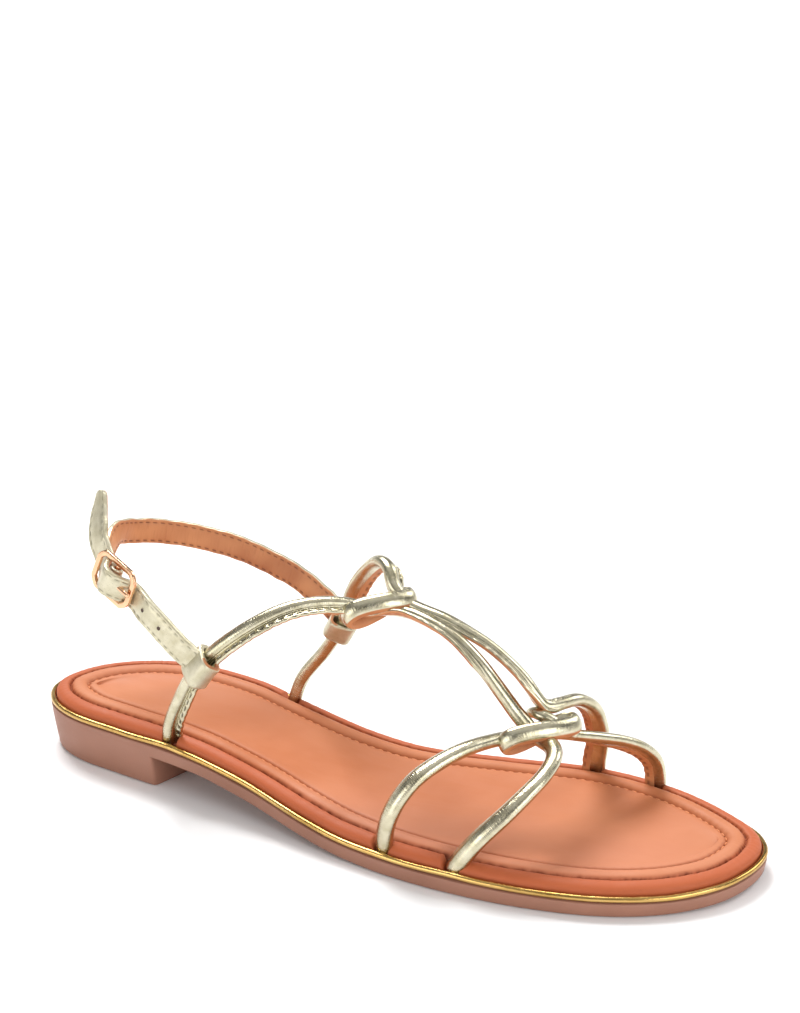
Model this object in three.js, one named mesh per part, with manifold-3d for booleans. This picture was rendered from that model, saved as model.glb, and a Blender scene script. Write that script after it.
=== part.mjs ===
// A flat gladiator sandal, right foot: sole with heel, gold rim, padded footbed, knotted straps, slingback, buckle.
// Millimetres. +X runs to the toe, +Y to the inner side of the foot, +Z up, and the ground is z = 0.
import * as THREE from "three";
import { mergeVertices } from "three/addons/utils/BufferGeometryUtils.js";
import Module from "manifold-3d";

const wasm = await Module();
wasm.setup();

// Overall sizes
const shoeLength = 250;
const ballWidth = 82.4;
const heelRise = 15.5; // ground to the top of the sole at the heel
const instepHeight = 70; // ground to the upper knot
const gap = 0.3; // between pieces that touch

// Sole
const soleEdgeRound = 0.6;
const soleSideSlope = 0.5;
const heelBreastAlong = 0.208; // where the heel ends on the outer side, as a share of the length
const heelBreastTurn = 19; // degrees
const heelTaper = 1.9;

// Rim and footbed
const rimWidth = 1.6;
const rimHeight = 2.2;
const rimRound = 0.5;
const footbedBorder = 12.7; // from the outline to the stitched channel
const footbedPad = 5.7; // from the sole to the crest of the border roll
const footbedSink = 0.8;

// Piped straps of the upper: a round bead with a stitched flange beside it
const beadWidth = 4.3;
const beadHeight = 3.7;
const flangeWidth = 2.4;
const flangeThickness = 1.5;
const strapStep = 4.2; // distance between sections
const footInset = 0.3; // from the rim's gap to a strap's foot
const knotBandWidth = 5.6;
const knotHalfDepth = 4.2; // from the middle of a knot to the middle of its band
const knotLean = 52; // degrees that a knot's band leans to the outer side

// Slingback and buckle
const slingWidth = 8.6;
const slingThickness = 2;
const keeperLength = 10.5;
const keeperWall = 1.4;
const holeDiameter = 1.6;
const holeSpacing = 7.4;
const tipLength = 9;
const tipWidth = 3.4;
const buckleAlong = 40; // from the keeper to the middle of the buckle
const buckleBar = 1.5;
const buckleBarFace = 1.9; // width of a bar in the frame's plane
const buckleLength = 17;
const buckleTurn = 9; // degrees, out of the strap's own direction
const buckleCorner = 2.6;
const barWrap = 1.1; // leather round the buckle's bar
const prongWidth = 1.5;

// Outline of the sole: shares of the length, and of the ball width to each side of the middle line
const outlineRows = table("along inner outer", [
  [0.011, -0.015, 0.015],
  [0.03, 0.15, 0.142],
  [0.074, 0.28, 0.23],
  [0.146, 0.369, 0.282],
  [0.25, 0.359, 0.339],
  [0.371, 0.296, 0.415],
  [0.5, 0.284, 0.53],
  [0.629, 0.347, 0.595],
  [0.75, 0.409, 0.591],
  [0.854, 0.368, 0.524],
  [0.933, 0.258, 0.393],
  [0.983, 0.133, 0.218],
  [1, 0, 0],
]);

// Side view of the sole: its top and its underside, as shares of the heel rise
const profileRows = table("along top under", [
  [0, 1, 0.71],
  [0.1, 1, 0.71],
  [0.2, 1.005, 0.71],
  [0.27, 0.96, 0.67],
  [0.34, 0.8, 0.5],
  [0.45, 0.47, 0.16],
  [0.52, 0.34, 0.03],
  [0.57, 0.316, 0],
  [0.7, 0.31, 0],
  [0.86, 0.297, 0],
  [0.93, 0.305, 0.02],
  [1, 0.365, 0.085],
]);

// Section of the footbed's border, from its foot at the rim to the middle: shares of the border and of the pad
const borderRows = table("inward rise", [
  [0.16, 0.26],
  [0.17, 0.56],
  [0.27, 0.8],
  [0.41, 0.88],
  [0.53, 0.83],
  [0.66, 0.98],
  [0.82, 1],
  [0.95, 0.86],
  [1, 0.77],
  [1.07, 0.82],
]);

// Routes of the straps: along the length, across as a share of the ball width, up as a share of the instep height.
// A foot row is where the strap goes down between the rim and the footbed.
const frontStrap = {
  start: { along: 0.564, side: -1 },
  end: { along: 0.824, side: 1 },
  flanges: [{ from: 0, side: -1 }],
  rows: table("along across up", [
    [0.567, -0.536, 0.178],
    [0.576, -0.546, 0.298],
    [0.588, -0.526, 0.39],
    [0.604, -0.479, 0.466],
    [0.639, -0.334, 0.533],
    [0.677, -0.17, 0.535],
    [0.702, -0.109, 0.53],
    [0.727, -0.049, 0.53],
    [0.749, 0.036, 0.485],
    [0.77, 0.109, 0.446],
    [0.791, 0.188, 0.399],
    [0.809, 0.261, 0.337],
    [0.82, 0.318, 0.257],
    [0.823, 0.338, 0.18],
  ]),
};
const outerStrap = {
  start: { along: 0.234, side: -1 },
  end: { along: 0.659, side: -1 },
  flanges: [{ from: 0, side: 1 }],
  rows: table("along across up", [
    [0.238, -0.3, 0.332],
    [0.254, -0.328, 0.468],
    [0.289, -0.352, 0.695],
    [0.331, -0.328, 0.849],
    [0.384, -0.243, 0.974],
    [0.418, -0.176, 1.003],
    [0.452, -0.11, 0.995],
    [0.483, -0.061, 0.965],
    [0.522, -0.049, 0.972],
    [0.559, -0.067, 0.955],
    [0.596, -0.085, 0.91],
    [0.633, -0.097, 0.821],
    [0.662, -0.103, 0.713],
    [0.688, -0.109, 0.611],
    [0.712, -0.121, 0.54],
    [0.736, -0.164, 0.53],
    [0.748, -0.243, 0.525],
    [0.746, -0.322, 0.49],
    [0.735, -0.407, 0.443],
    [0.715, -0.485, 0.363],
    [0.69, -0.538, 0.264],
    [0.672, -0.547, 0.172],
  ]),
};
const innerStrap = {
  start: { along: 0.322, side: 1 },
  end: { along: 0.738, side: 1 },
  flanges: [
    { from: 0, side: -1 },
    { from: 0.43, side: 1 },
    { from: 0.7, side: -1 },
  ],
  rows: table("along across up", [
    [0.334, 0.283, 0.35],
    [0.366, 0.293, 0.513],
    [0.392, 0.279, 0.668],
    [0.427, 0.218, 0.938],
    [0.449, 0.182, 1.044],
    [0.472, 0.127, 1.112],
    [0.492, 0.073, 1.105],
    [0.504, 0.03, 1.04],
    [0.522, 0.006, 0.995],
    [0.578, -0.006, 0.948],
    [0.614, -0.012, 0.897],
    [0.645, -0.018, 0.838],
    [0.674, -0.024, 0.764],
    [0.696, -0.03, 0.688],
    [0.71, -0.006, 0.625],
    [0.722, 0.049, 0.617],
    [0.734, 0.121, 0.607],
    [0.745, 0.206, 0.536],
    [0.747, 0.28, 0.421],
    [0.745, 0.334, 0.3],
    [0.74, 0.35, 0.19],
  ]),
};
const buckleStrapRows = table("along across up", [
  [0.29, -0.352, 0.705],
  [0.27, -0.37, 0.77],
  [0.251, -0.37, 0.826],
  [0.224, -0.358, 0.901],
  [0.197, -0.334, 0.956],
  [0.164, -0.297, 1.021],
  [0.138, -0.255, 1.074],
  [0.124, -0.212, 1.14],
  [0.115, -0.164, 1.217],
  [0.112, -0.127, 1.284],
  [0.11, -0.1, 1.345],
]);
const heelStrapRows = table("along across up", [
  [0.396, 0.285, 0.617],
  [0.38, 0.322, 0.695],
  [0.352, 0.352, 0.751],
  [0.313, 0.376, 0.819],
  [0.27, 0.388, 0.868],
  [0.227, 0.382, 0.914],
  [0.171, 0.358, 0.949],
  [0.124, 0.297, 0.978],
  [0.097, 0.206, 1.003],
  [0.094, 0.097, 1.037],
  [0.102, -0.012, 1.024],
  [0.119, -0.121, 0.992],
]);

// The band of each knot, wrapped across the straps: its two ends and how far it stands out
const lowerKnot = {
  from: { along: 0.682, across: -0.212, up: 0.529 },
  to: { along: 0.748, across: -0.006, up: 0.571 },
};
const upperKnot = {
  from: { along: 0.46, across: -0.127, up: 0.947 },
  to: { along: 0.52, across: 0.04, up: 1.01 },
};

const outlinePieces = 4; // steps between two rows of the outline

// Rows of numbers as objects with named columns.
function table(columns, rows) {
  const names = columns.split(" ");
  return rows.map((row) => Object.fromEntries(names.map((name, i) => [name, row[i]])));
}

// A column of a table at any place along, smooth, and level wherever two rows are equal.
function smooth(rows, column, along) {
  const x = rows.map((row) => row.along);
  const y = rows.map((row) => row[column]);
  const last = x.length - 1;
  const rise = x.slice(1).map((_, i) => (y[i + 1] - y[i]) / (x[i + 1] - x[i]));
  const slope = y.map((_, i) => {
    if (i === 0) return rise[0];
    if (i === last) return rise[last - 1];
    return rise[i - 1] * rise[i] <= 0 ? 0 : (2 * rise[i - 1] * rise[i]) / (rise[i - 1] + rise[i]);
  });
  const place = THREE.MathUtils.clamp(along, 0, 1);
  const i = Math.min(last - 1, Math.max(0, x.findIndex((value) => value > place) - 1));
  const start = place >= x[last] ? last - 1 : i;
  const width = x[start + 1] - x[start];
  const t = (place - x[start]) / width;
  const hermite = [(1 + 2 * t) * (1 - t) ** 2, t * (1 - t) ** 2, t * t * (3 - 2 * t), t * t * (t - 1)];
  return (
    hermite[0] * y[start] +
    hermite[1] * width * slope[start] +
    hermite[2] * y[start + 1] +
    hermite[3] * width * slope[start + 1]
  );
}

// The top and the underside of the sole at a place x.
function soleTop(x) {
  return heelRise * smooth(profileRows, "top", x / shoeLength + 0.5);
}

function soleUnder(x) {
  return heelRise * smooth(profileRows, "under", x / shoeLength + 0.5);
}

// The outline as a closed curve, from the heel along the outer side to the toe and back.
function outlineCurve() {
  const outer = outlineRows.map(
    (row) => new THREE.Vector3((row.along - 0.5) * shoeLength, -row.outer * ballWidth, 0),
  );
  const inner = outlineRows
    .slice(1, -1)
    .reverse()
    .map((row) => new THREE.Vector3((row.along - 0.5) * shoeLength, row.inner * ballWidth, 0));
  return new THREE.CatmullRomCurve3([...outer, ...inner], true);
}

const outline = outlineCurve();
const outlineCount = 2 * (outlineRows.length - 1) * outlinePieces;

// A ring inside the outline, its height a function of x.
function ring(inset, height) {
  return Array.from({ length: outlineCount }, (_, i) => {
    const u = i / outlineCount;
    const tangent = outline.getTangent(u);
    const inward = new THREE.Vector3(-tangent.y, tangent.x, 0).normalize();
    const point = outline.getPoint(u).addScaledVector(inward, inset);
    point.z = height(point.x);
    return point;
  });
}

// A point beside the outline, at a share of the length, on the outer side (-1) or the inner side (1).
function besideOutline(along, side, inset) {
  const x = (along - 0.5) * shoeLength;
  const half = ring(inset, () => 0).filter((point) => point.y * side > 0);
  half.sort((a, b) => a.x - b.x);
  const next = half.findIndex((point) => point.x > x);
  const share = (x - half[next - 1].x) / (half[next].x - half[next - 1].x);
  return half[next - 1].clone().lerp(half[next], share);
}

// Triangles between rings; a closed loft joins the last ring to the first, an open one is capped.
function ringWalls(rings, closed) {
  const count = rings[0].length;
  const faces = [];
  const bands = closed ? rings.length : rings.length - 1;
  for (let band = 0; band < bands; band += 1) {
    const low = rings[band];
    const high = rings[(band + 1) % rings.length];
    for (let i = 0; i < count; i += 1) {
      const j = (i + 1) % count;
      faces.push([low[i], low[j], high[j]], [low[i], high[j], high[i]]);
    }
  }
  return faces;
}

// A lid across a ring of the outline, facing up, its middle line lowered by sink.
function outlineLid(points, sink) {
  const half = points.length / 2;
  const middle = Array.from({ length: half + 1 }, (_, i) => {
    const centre = points[i].clone().lerp(points[(points.length - i) % points.length], 0.5);
    centre.z -= i === 0 || i === half ? 0 : sink;
    return centre;
  });
  const faces = [];
  for (let i = 0; i < half; i += 1) {
    const inner = points[(points.length - i) % points.length];
    const nextInner = points[points.length - i - 1];
    faces.push([points[i], points[i + 1], middle[i + 1]], [points[i], middle[i + 1], middle[i]]);
    faces.push([middle[i], middle[i + 1], nextInner], [middle[i], nextInner, inner]);
  }
  return faces.filter(([a, b, c]) => a.distanceTo(b) > 1e-4 && b.distanceTo(c) > 1e-4 && c.distanceTo(a) > 1e-4);
}

function turned(faces) {
  return faces.map(([a, b, c]) => [a, c, b]);
}

function geometryOfFaces(faces) {
  const points = faces.flat();
  return new THREE.BufferGeometry().setFromPoints(points);
}

// A three.js geometry as a solid for cutting and joining.
function solid(geometry) {
  const plain = geometry.index ? geometry.toNonIndexed() : geometry.clone();
  plain.deleteAttribute("normal");
  plain.deleteAttribute("uv");
  const merged = mergeVertices(plain, 1e-4);
  return new wasm.Manifold(
    new wasm.Mesh({
      numProp: 3,
      vertProperties: merged.attributes.position.array,
      triVerts: new Uint32Array(merged.index.array),
    }),
  );
}

// A slab with the shoe's outline: rings from bottom to top, closed by two lids.
function outlineSlab(rings, sink = 0) {
  const faces = ringWalls(rings, false);
  faces.push(...turned(outlineLid(rings[0], 0)), ...outlineLid(rings[rings.length - 1], sink));
  return solid(geometryOfFaces(faces));
}

// A band swept along stations, each with a point, a direction across and a direction out.
function sweep(stations, section, closed = false) {
  const rings = stations.map((station, i) =>
    section(i).map(([across, out]) =>
      station.point.clone().addScaledVector(station.across, across).addScaledVector(station.out, out),
    ),
  );
  const faces = ringWalls(rings, closed);
  if (!closed) {
    const first = rings[0];
    const last = rings[rings.length - 1];
    for (let i = 1; i < first.length - 1; i += 1) {
      faces.push([first[0], first[i + 1], first[i]], [last[0], last[i], last[i + 1]]);
    }
  }
  const made = solid(geometryOfFaces(faces));
  return made.volume() < 0 ? solid(geometryOfFaces(turned(faces))) : made;
}

// The same stations with both ends moved outward, so that a grown band is longer too.
function stretched(stations, grow) {
  const first = stations[0];
  const last = stations[stations.length - 1];
  const start = { ...first, point: first.point.clone().addScaledVector(first.tangent, -grow) };
  const end = { ...last, point: last.point.clone().addScaledVector(last.tangent, grow) };
  return [start, ...stations.slice(1, -1), end];
}

// Stations along a curve between two distances, turned so that out faces away from the foot.
function stationsAlong(curve, outward, from, to, step) {
  const length = curve.getLength();
  const count = Math.max(2, Math.round((to - from) / step));
  return Array.from({ length: count + 1 }, (_, i) => {
    const u = THREE.MathUtils.clamp((from + ((to - from) * i) / count) / length, 0, 1);
    const point = curve.getPointAt(u);
    const tangent = curve.getTangentAt(u);
    const out = outward(point).projectOnPlane(tangent).normalize();
    const across = new THREE.Vector3().crossVectors(tangent, out);
    return { point, tangent, out, across };
  });
}

// Away from the middle of the foot, for the straps over the foot.
function awayFromFoot(point) {
  return new THREE.Vector3(0, point.y + 0.08 * ballWidth, point.z - 0.2 * instepHeight);
}

// Away from the heel and ankle, level, for the slingback.
function awayFromAnkle(point) {
  const x = THREE.MathUtils.clamp(point.x, -0.34 * shoeLength, -0.1 * shoeLength);
  return new THREE.Vector3(point.x - x, point.y, 0);
}

function placed(row) {
  return new THREE.Vector3((row.along - 0.5) * shoeLength, row.across * ballWidth, row.up * instepHeight);
}

// Where a strap stands on the sole, just inside the rim.
function strapFoot({ along, side }) {
  const point = besideOutline(along, side, rimWidth + gap + beadHeight / 2 + footInset);
  point.z = soleTop(point.x) - beadHeight / 2;
  return point;
}

function strapCurve(strap) {
  return new THREE.CatmullRomCurve3([strapFoot(strap.start), ...strap.rows.map(placed), strapFoot(strap.end)]);
}

// Section of a piped strap about its middle, grown on every side by a clearance.
function pipedSection(flangeSide, grow) {
  const half = (beadWidth + flangeWidth) / 2;
  const beadMiddle = half - beadWidth / 2;
  const under = -beadHeight / 2 - grow;
  const points = [
    [-half - grow, under],
    [-half - grow, under + flangeThickness + 2 * grow],
  ];
  for (const degrees of [152, 120, 90, 60, 30, 0]) {
    const angle = THREE.MathUtils.degToRad(degrees);
    points.push([
      beadMiddle + (beadWidth / 2 + grow) * Math.cos(angle),
      under + (beadHeight + 2 * grow) * (0.3 + 0.7 * Math.sin(angle)),
    ]);
  }
  points.push([half + grow, under]);
  return points.map(([across, out]) => [-flangeSide * across, out]);
}

function pipedStrap(strap, grow = 0, from = 0, to = Infinity) {
  const curve = strapCurve(strap);
  const length = curve.getLength();
  const runs = strap.flanges.map((flange, i) => {
    const start = Math.max(from, flange.from * length);
    const next = strap.flanges[i + 1];
    const end = Math.min(to, next ? next.from * length + strapStep / 2 : length);
    if (end <= start) return null;
    const section = pipedSection(flange.side, grow);
    return sweep(stationsAlong(curve, awayFromFoot, start, end, strapStep), () => section);
  });
  return runs.filter(Boolean).reduce((all, run) => all.add(run));
}

// The room that a strap's foot needs in the footbed, open towards the rim.
function footNotch(strap, from, to) {
  const half = (beadWidth + flangeWidth) / 2 + gap;
  const under = -beadHeight / 2 - gap;
  const outside = beadHeight / 2 + footbedBorder / 4;
  const section = [
    [-half, under],
    [-half, outside],
    [half, outside],
    [half, under],
  ];
  const stations = stationsAlong(strapCurve(strap), awayFromFoot, from, to, strapStep / 2);
  return sweep(stations, () => section);
}

// The closed band of a knot, an ellipse round the straps that it holds.
function knotBand(knot) {
  const from = placed(knot.from);
  const to = placed(knot.to);
  const centre = from.clone().lerp(to, 0.5);
  const long = to.clone().sub(from);
  const halfLength = long.length() / 2;
  long.normalize();
  const out = awayFromFoot(centre).projectOnPlane(long).normalize();
  out.applyAxisAngle(long, THREE.MathUtils.degToRad(knotLean));
  const across = new THREE.Vector3().crossVectors(long, out);
  const count = 22;
  const stations = Array.from({ length: count }, (_, i) => {
    const angle = (2 * Math.PI * i) / count;
    const radial = long
      .clone()
      .multiplyScalar(halfLength * Math.cos(angle))
      .addScaledVector(out, knotHalfDepth * Math.sin(angle));
    const facing = long
      .clone()
      .multiplyScalar(knotHalfDepth * Math.cos(angle))
      .addScaledVector(out, halfLength * Math.sin(angle))
      .normalize();
    return { point: centre.clone().add(radial), out: facing, across };
  });
  const section = Array.from({ length: 8 }, (_, i) => {
    const angle = ((i + 0.5) * Math.PI) / 4;
    return [(knotBandWidth / 2) * Math.cos(angle), (beadHeight / 2) * Math.sin(angle)];
  });
  return sweep(stations, () => section, true);
}

// Flat strap section with its edges broken.
function flatSection(width, thickness, edge = 0.4) {
  const a = width / 2;
  const t = thickness / 2;
  return [
    [-a, -t + edge],
    [-a, t - edge],
    [-a + edge, t],
    [a - edge, t],
    [a, t - edge],
    [a, -t + edge],
    [a - edge, -t],
    [-a + edge, -t],
  ];
}

const material = (color, roughness, metalness) => new THREE.MeshStandardMaterial({ color, roughness, metalness });
const shoe = new THREE.Group();

function addPiece(name, piece, look) {
  const mesh = piece.getMesh();
  const geometry = new THREE.BufferGeometry();
  geometry.setAttribute("position", new THREE.BufferAttribute(mesh.vertProperties, 3));
  geometry.setIndex(new THREE.BufferAttribute(mesh.triVerts, 1));
  const flat = geometry.toNonIndexed();
  flat.computeVertexNormals();
  const node = new THREE.Mesh(flat, look);
  node.name = name;
  shoe.add(node);
}

// Outsole: one moulded unit, a thin sole with its heel.
function makeOutsole() {
  const sole = outlineSlab([
    ring(soleSideSlope + soleEdgeRound, soleUnder),
    ring(soleSideSlope, (x) => soleUnder(x) + soleEdgeRound),
    ring(0, soleTop),
  ]);
  const heelForm = outlineSlab([
    ring(soleSideSlope + heelTaper, () => 0),
    ring(soleSideSlope, (x) => soleUnder(x) + 1.5),
  ]);
  const behind = new THREE.BoxGeometry(shoeLength, 3 * ballWidth, 4 * heelRise);
  behind.translate(-shoeLength / 2, 0, 0);
  behind.rotateZ(THREE.MathUtils.degToRad(-heelBreastTurn));
  const corner = besideOutline(heelBreastAlong, -1, 0);
  behind.translate(corner.x, corner.y, 0);
  return sole.add(heelForm.intersect(solid(behind)));
}

// Rim: the gold band that lies on the sole round the footbed, grown on every side by a clearance.
function makeRim(grow = 0) {
  const at = (rise) => (x) => soleTop(x) + rise;
  const rings = [
    ring(rimWidth + grow, at(gap - grow)),
    ring(-grow, at(gap - grow)),
    ring(-grow, at(rimHeight - rimRound)),
    ring(rimRound, at(rimHeight + grow)),
    ring(rimWidth + grow, at(rimHeight + grow)),
  ];
  return solid(geometryOfFaces(ringWalls(rings, true)));
}

// Footbed: padded, with a double roll round its border, and notches where the straps go in.
function makeFootbed(straps) {
  const rim = rimWidth + gap;
  const rings = [
    ring(rim, (x) => soleTop(x) + gap),
    ...borderRows.map(({ inward, rise }) =>
      ring(Math.max(rim, inward * footbedBorder), (x) => soleTop(x) + rise * footbedPad),
    ),
  ];
  let bed = outlineSlab(rings, footbedSink);
  for (const strap of straps) {
    const curve = strapCurve(strap);
    const length = curve.getLength();
    const depth = 3 * footbedPad;
    bed = bed.subtract(footNotch(strap, 0, depth));
    bed = bed.subtract(footNotch(strap, length - depth, length));
  }
  return bed;
}

// Upper: three piped straps that stand on the sole, joined by the bands of the two knots.
function makeUpper(straps, knots) {
  let upper = pipedStrap(straps[0]);
  for (const strap of straps.slice(1)) upper = upper.add(pipedStrap(strap));
  for (const knot of knots) upper = upper.add(knotBand(knot));
  const below = outlineSlab([ring(0, () => -heelRise), ring(0, (x) => soleTop(x) + gap)]);
  return upper.subtract(below).subtract(makeRim(gap));
}

// A loop of leather round a strap of the upper, beside a place on its route.
function keeperLoop(strap, beside) {
  const curve = strapCurve(strap);
  const length = curve.getLength();
  const steps = Array.from({ length: 400 }, (_, i) => i / 399);
  const nearest = steps.reduce((best, u) =>
    curve.getPointAt(u).distanceTo(beside) < curve.getPointAt(best).distanceTo(beside) ? u : best,
  );
  const middle = nearest * length;
  const from = middle - keeperLength / 2;
  return {
    outer: pipedStrap(strap, gap + keeperWall, from, from + keeperLength),
    hollow: pipedStrap(strap, gap, from - keeperLength, from + 2 * keeperLength),
  };
}

// The buckle's own axes: along the strap, across it and out of it.
function buckleAxes() {
  const curve = new THREE.CatmullRomCurve3(buckleStrapRows.map(placed));
  const [{ point, tangent, out, across }] = stationsAlong(curve, awayFromAnkle, buckleAlong, buckleAlong + 1, 1);
  const turn = THREE.MathUtils.degToRad(buckleTurn);
  tangent.applyAxisAngle(out, turn);
  across.applyAxisAngle(out, turn);
  return { curve, point, tangent, out, across };
}

const buckle = buckleAxes();

function besideBuckle(along, across, out) {
  return buckle.point
    .clone()
    .addScaledVector(buckle.tangent, along)
    .addScaledVector(buckle.across, across)
    .addScaledVector(buckle.out, out);
}

// The buckle has three bars in one plane. The strap goes under the front bar, over the middle bar with the leather
// and the prong that are on it, and under the rear bar.
const frameOut = 0.9;
const strapDip = slingThickness / 2 + gap + buckleBar / 2 - frameOut;
const strapRise = frameOut + buckleBar / 2 + gap + prongWidth + gap + slingThickness / 2;

// How far the strap leaves its own route at a distance along it.
function buckleWeave(distance) {
  const t = Math.abs(distance - buckleAlong) / buckleLength;
  if (t > 1) return 0;
  if (t > 0.5) return (-strapDip * (1 - Math.cos(2 * Math.PI * t))) / 2;
  return (strapRise - strapDip) / 2 + ((strapRise + strapDip) / 2) * Math.cos(2 * Math.PI * t);
}

// Eight-sided buckle frame: a square bar round an opening that the strap passes.
function makeFrame(grow = 0) {
  const along = buckleLength / 2;
  const across = slingWidth / 2 + 2 * gap + buckleBar / 2 + 0.4;
  const corners = [
    [-along, -across + buckleCorner],
    [-along, across - buckleCorner],
    [-along + buckleCorner, across],
    [along - buckleCorner, across],
    [along, across - buckleCorner],
    [along, -across + buckleCorner],
    [along - buckleCorner, -across],
    [-along + buckleCorner, -across],
  ];
  const lie = ([u, v]) => besideBuckle(u, v, frameOut);
  const half = buckleBar / 2 + grow;
  const normal = buckle.out;
  const stations = corners.map((corner) => {
    const point = lie(corner);
    const away = point.clone().sub(lie([0, 0])).projectOnPlane(normal).normalize();
    return { point, out: normal, across: away };
  });
  const widen = (buckleBarFace / 2 + grow) / Math.cos(Math.PI / 8);
  const section = (wide) => [
    [-wide, -half],
    [wide, -half],
    [wide, half],
    [-wide, half],
  ];
  const ends = [-across, across].map((v) => ({ point: lie([0, v]), out: normal, across: buckle.tangent }));
  return sweep(stations, () => section(widen), true).add(sweep(ends, () => section(half)));
}

// Prong: from over the middle bar, through a hole in the strap, onto the front bar.
function makeProng(grow = 0) {
  const rest = frameOut + buckleBar / 2 + gap + prongWidth / 2;
  const rows = table("along out", [
    [0.09, rest],
    [-0.25, rest],
    [-0.57, rest],
  ]);
  const curve = new THREE.CatmullRomCurve3(rows.map((row) => besideBuckle(row.along * buckleLength, 0, row.out)));
  const stations = stretched(stationsAlong(curve, () => buckle.out.clone(), 0, curve.getLength(), 2), grow);
  const half = prongWidth / 2 + grow;
  return sweep(stations, () => [
    [-half, -half],
    [half, -half],
    [half, half],
    [-half, half],
  ]);
}

// A round rod across the buckle, at a place along and out.
function rodAcross(radius, length, along, out) {
  const rod = new THREE.CylinderGeometry(radius, radius, length, 16);
  rod.applyMatrix4(
    new THREE.Matrix4().makeBasis(
      buckle.tangent.clone().negate(),
      buckle.across.clone(),
      new THREE.Vector3().crossVectors(buckle.tangent.clone().negate(), buckle.across),
    ),
  );
  const centre = besideBuckle(along, 0, out);
  rod.translate(centre.x, centre.y, centre.z);
  return solid(rod);
}

// The flat band of the outer slingback strap with its pointed tip, grown on every side by a clearance.
function buckleStrapBand(grow = 0) {
  const course = stationsAlong(buckle.curve, awayFromAnkle, 0, buckle.curve.getLength(), strapStep / 2);
  const woven = course.map(({ point, out }, i) => {
    const distance = (i / (course.length - 1)) * buckle.curve.getLength();
    return point.clone().addScaledVector(out, buckleWeave(distance));
  });
  const curve = new THREE.CatmullRomCurve3(woven);
  const length = curve.getLength();
  const stations = stretched(stationsAlong(curve, awayFromAnkle, 0, length, strapStep / 2), grow);
  return sweep(stations, (i) => {
    const left = ((stations.length - 1 - i) / (stations.length - 1)) * length;
    const width = left < tipLength ? tipWidth + ((slingWidth - tipWidth) * left) / tipLength : slingWidth;
    return flatSection(width + 2 * grow, slingThickness + 2 * grow);
  });
}

// Outer slingback strap: a loop round the ankle strap, a row of holes and a pointed tip through the buckle.
function makeBuckleStrap() {
  let strap = buckleStrapBand();
  const loop = keeperLoop(outerStrap, placed(buckleStrapRows[0]));
  strap = strap.add(loop.outer).subtract(loop.hollow);
  strap = strap.subtract(makeFrame(gap)).subtract(makeProng(gap));
  for (const number of [1, 2, 3]) {
    const place = buckleAlong - number * holeSpacing;
    const [station] = stationsAlong(buckle.curve, awayFromAnkle, place, place + 1, 1);
    const punch = new THREE.CylinderGeometry(holeDiameter / 2, holeDiameter / 2, 3 * slingThickness, 10);
    punch.applyQuaternion(new THREE.Quaternion().setFromUnitVectors(new THREE.Vector3(0, 1, 0), station.out));
    punch.translate(station.point.x, station.point.y, station.point.z);
    strap = strap.subtract(solid(punch));
  }
  return strap;
}

// Heel strap: a loop round the inner ankle strap, round the heel, folded round the buckle's middle bar.
function makeHeelStrap() {
  const barAt = besideBuckle(0, 0, frameOut - buckleBar / 2 - gap - barWrap / 2);
  const curve = new THREE.CatmullRomCurve3([...heelStrapRows.map(placed), barAt]);
  const stations = stationsAlong(curve, awayFromAnkle, 0, curve.getLength(), strapStep);
  const section = flatSection(slingWidth, slingThickness);
  const fold = rodAcross(buckleBar / 2 + gap + barWrap, slingWidth, 0, frameOut);
  const loop = keeperLoop(innerStrap, placed(heelStrapRows[0]));
  return sweep(stations, () => section)
    .add(fold)
    .add(loop.outer)
    .subtract(loop.hollow)
    .subtract(buckleStrapBand(gap))
    .subtract(makeFrame(gap))
    .subtract(makeProng(gap));
}

const straps = [frontStrap, outerStrap, innerStrap];
const knots = [lowerKnot, upperKnot];
const goldLeather = material(0xcfc4a4, 0.3, 0.75);
const roseGold = material(0xe6b183, 0.2, 1);

addPiece("outsole", makeOutsole(), material(0xac7d69, 0.6, 0));
addPiece("rim", makeRim(), material(0xd7b96e, 0.25, 0.9));
addPiece("footbed", makeFootbed(straps), material(0xde8c6c, 0.55, 0));
addPiece("upper", makeUpper(straps, knots), goldLeather);
addPiece("buckle_strap", makeBuckleStrap(), goldLeather);
addPiece("heel_strap", makeHeelStrap(), goldLeather);
addPiece("buckle_frame", makeFrame(), roseGold);
addPiece("buckle_prong", makeProng(), roseGold);

// The origin lies on the ground under the middle of the shoe's box.
const middle = new THREE.Box3().setFromObject(shoe).getCenter(new THREE.Vector3());
for (const piece of shoe.children) piece.position.set(-middle.x, -middle.y, 0);

export default shoe;
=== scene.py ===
# %% [markdown]
# A flat gladiator sandal is a stack of simple forms: a moulded sole, a gold rim, a padded footbed, and
# straps that are tied over it. Each form here is worked out from a few named sizes in millimetres, in the
# same frame as the solid model: +X to the toe, +Y to the inner side of the foot, +Z up, and the ground at
# z = 0. The solid model is loaded first, so that every piece can be fitted to it and stand for one of its
# solids.

import math

import bmesh
import bpy
import numpy as np
from mathutils import Matrix, Vector, noise


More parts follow.
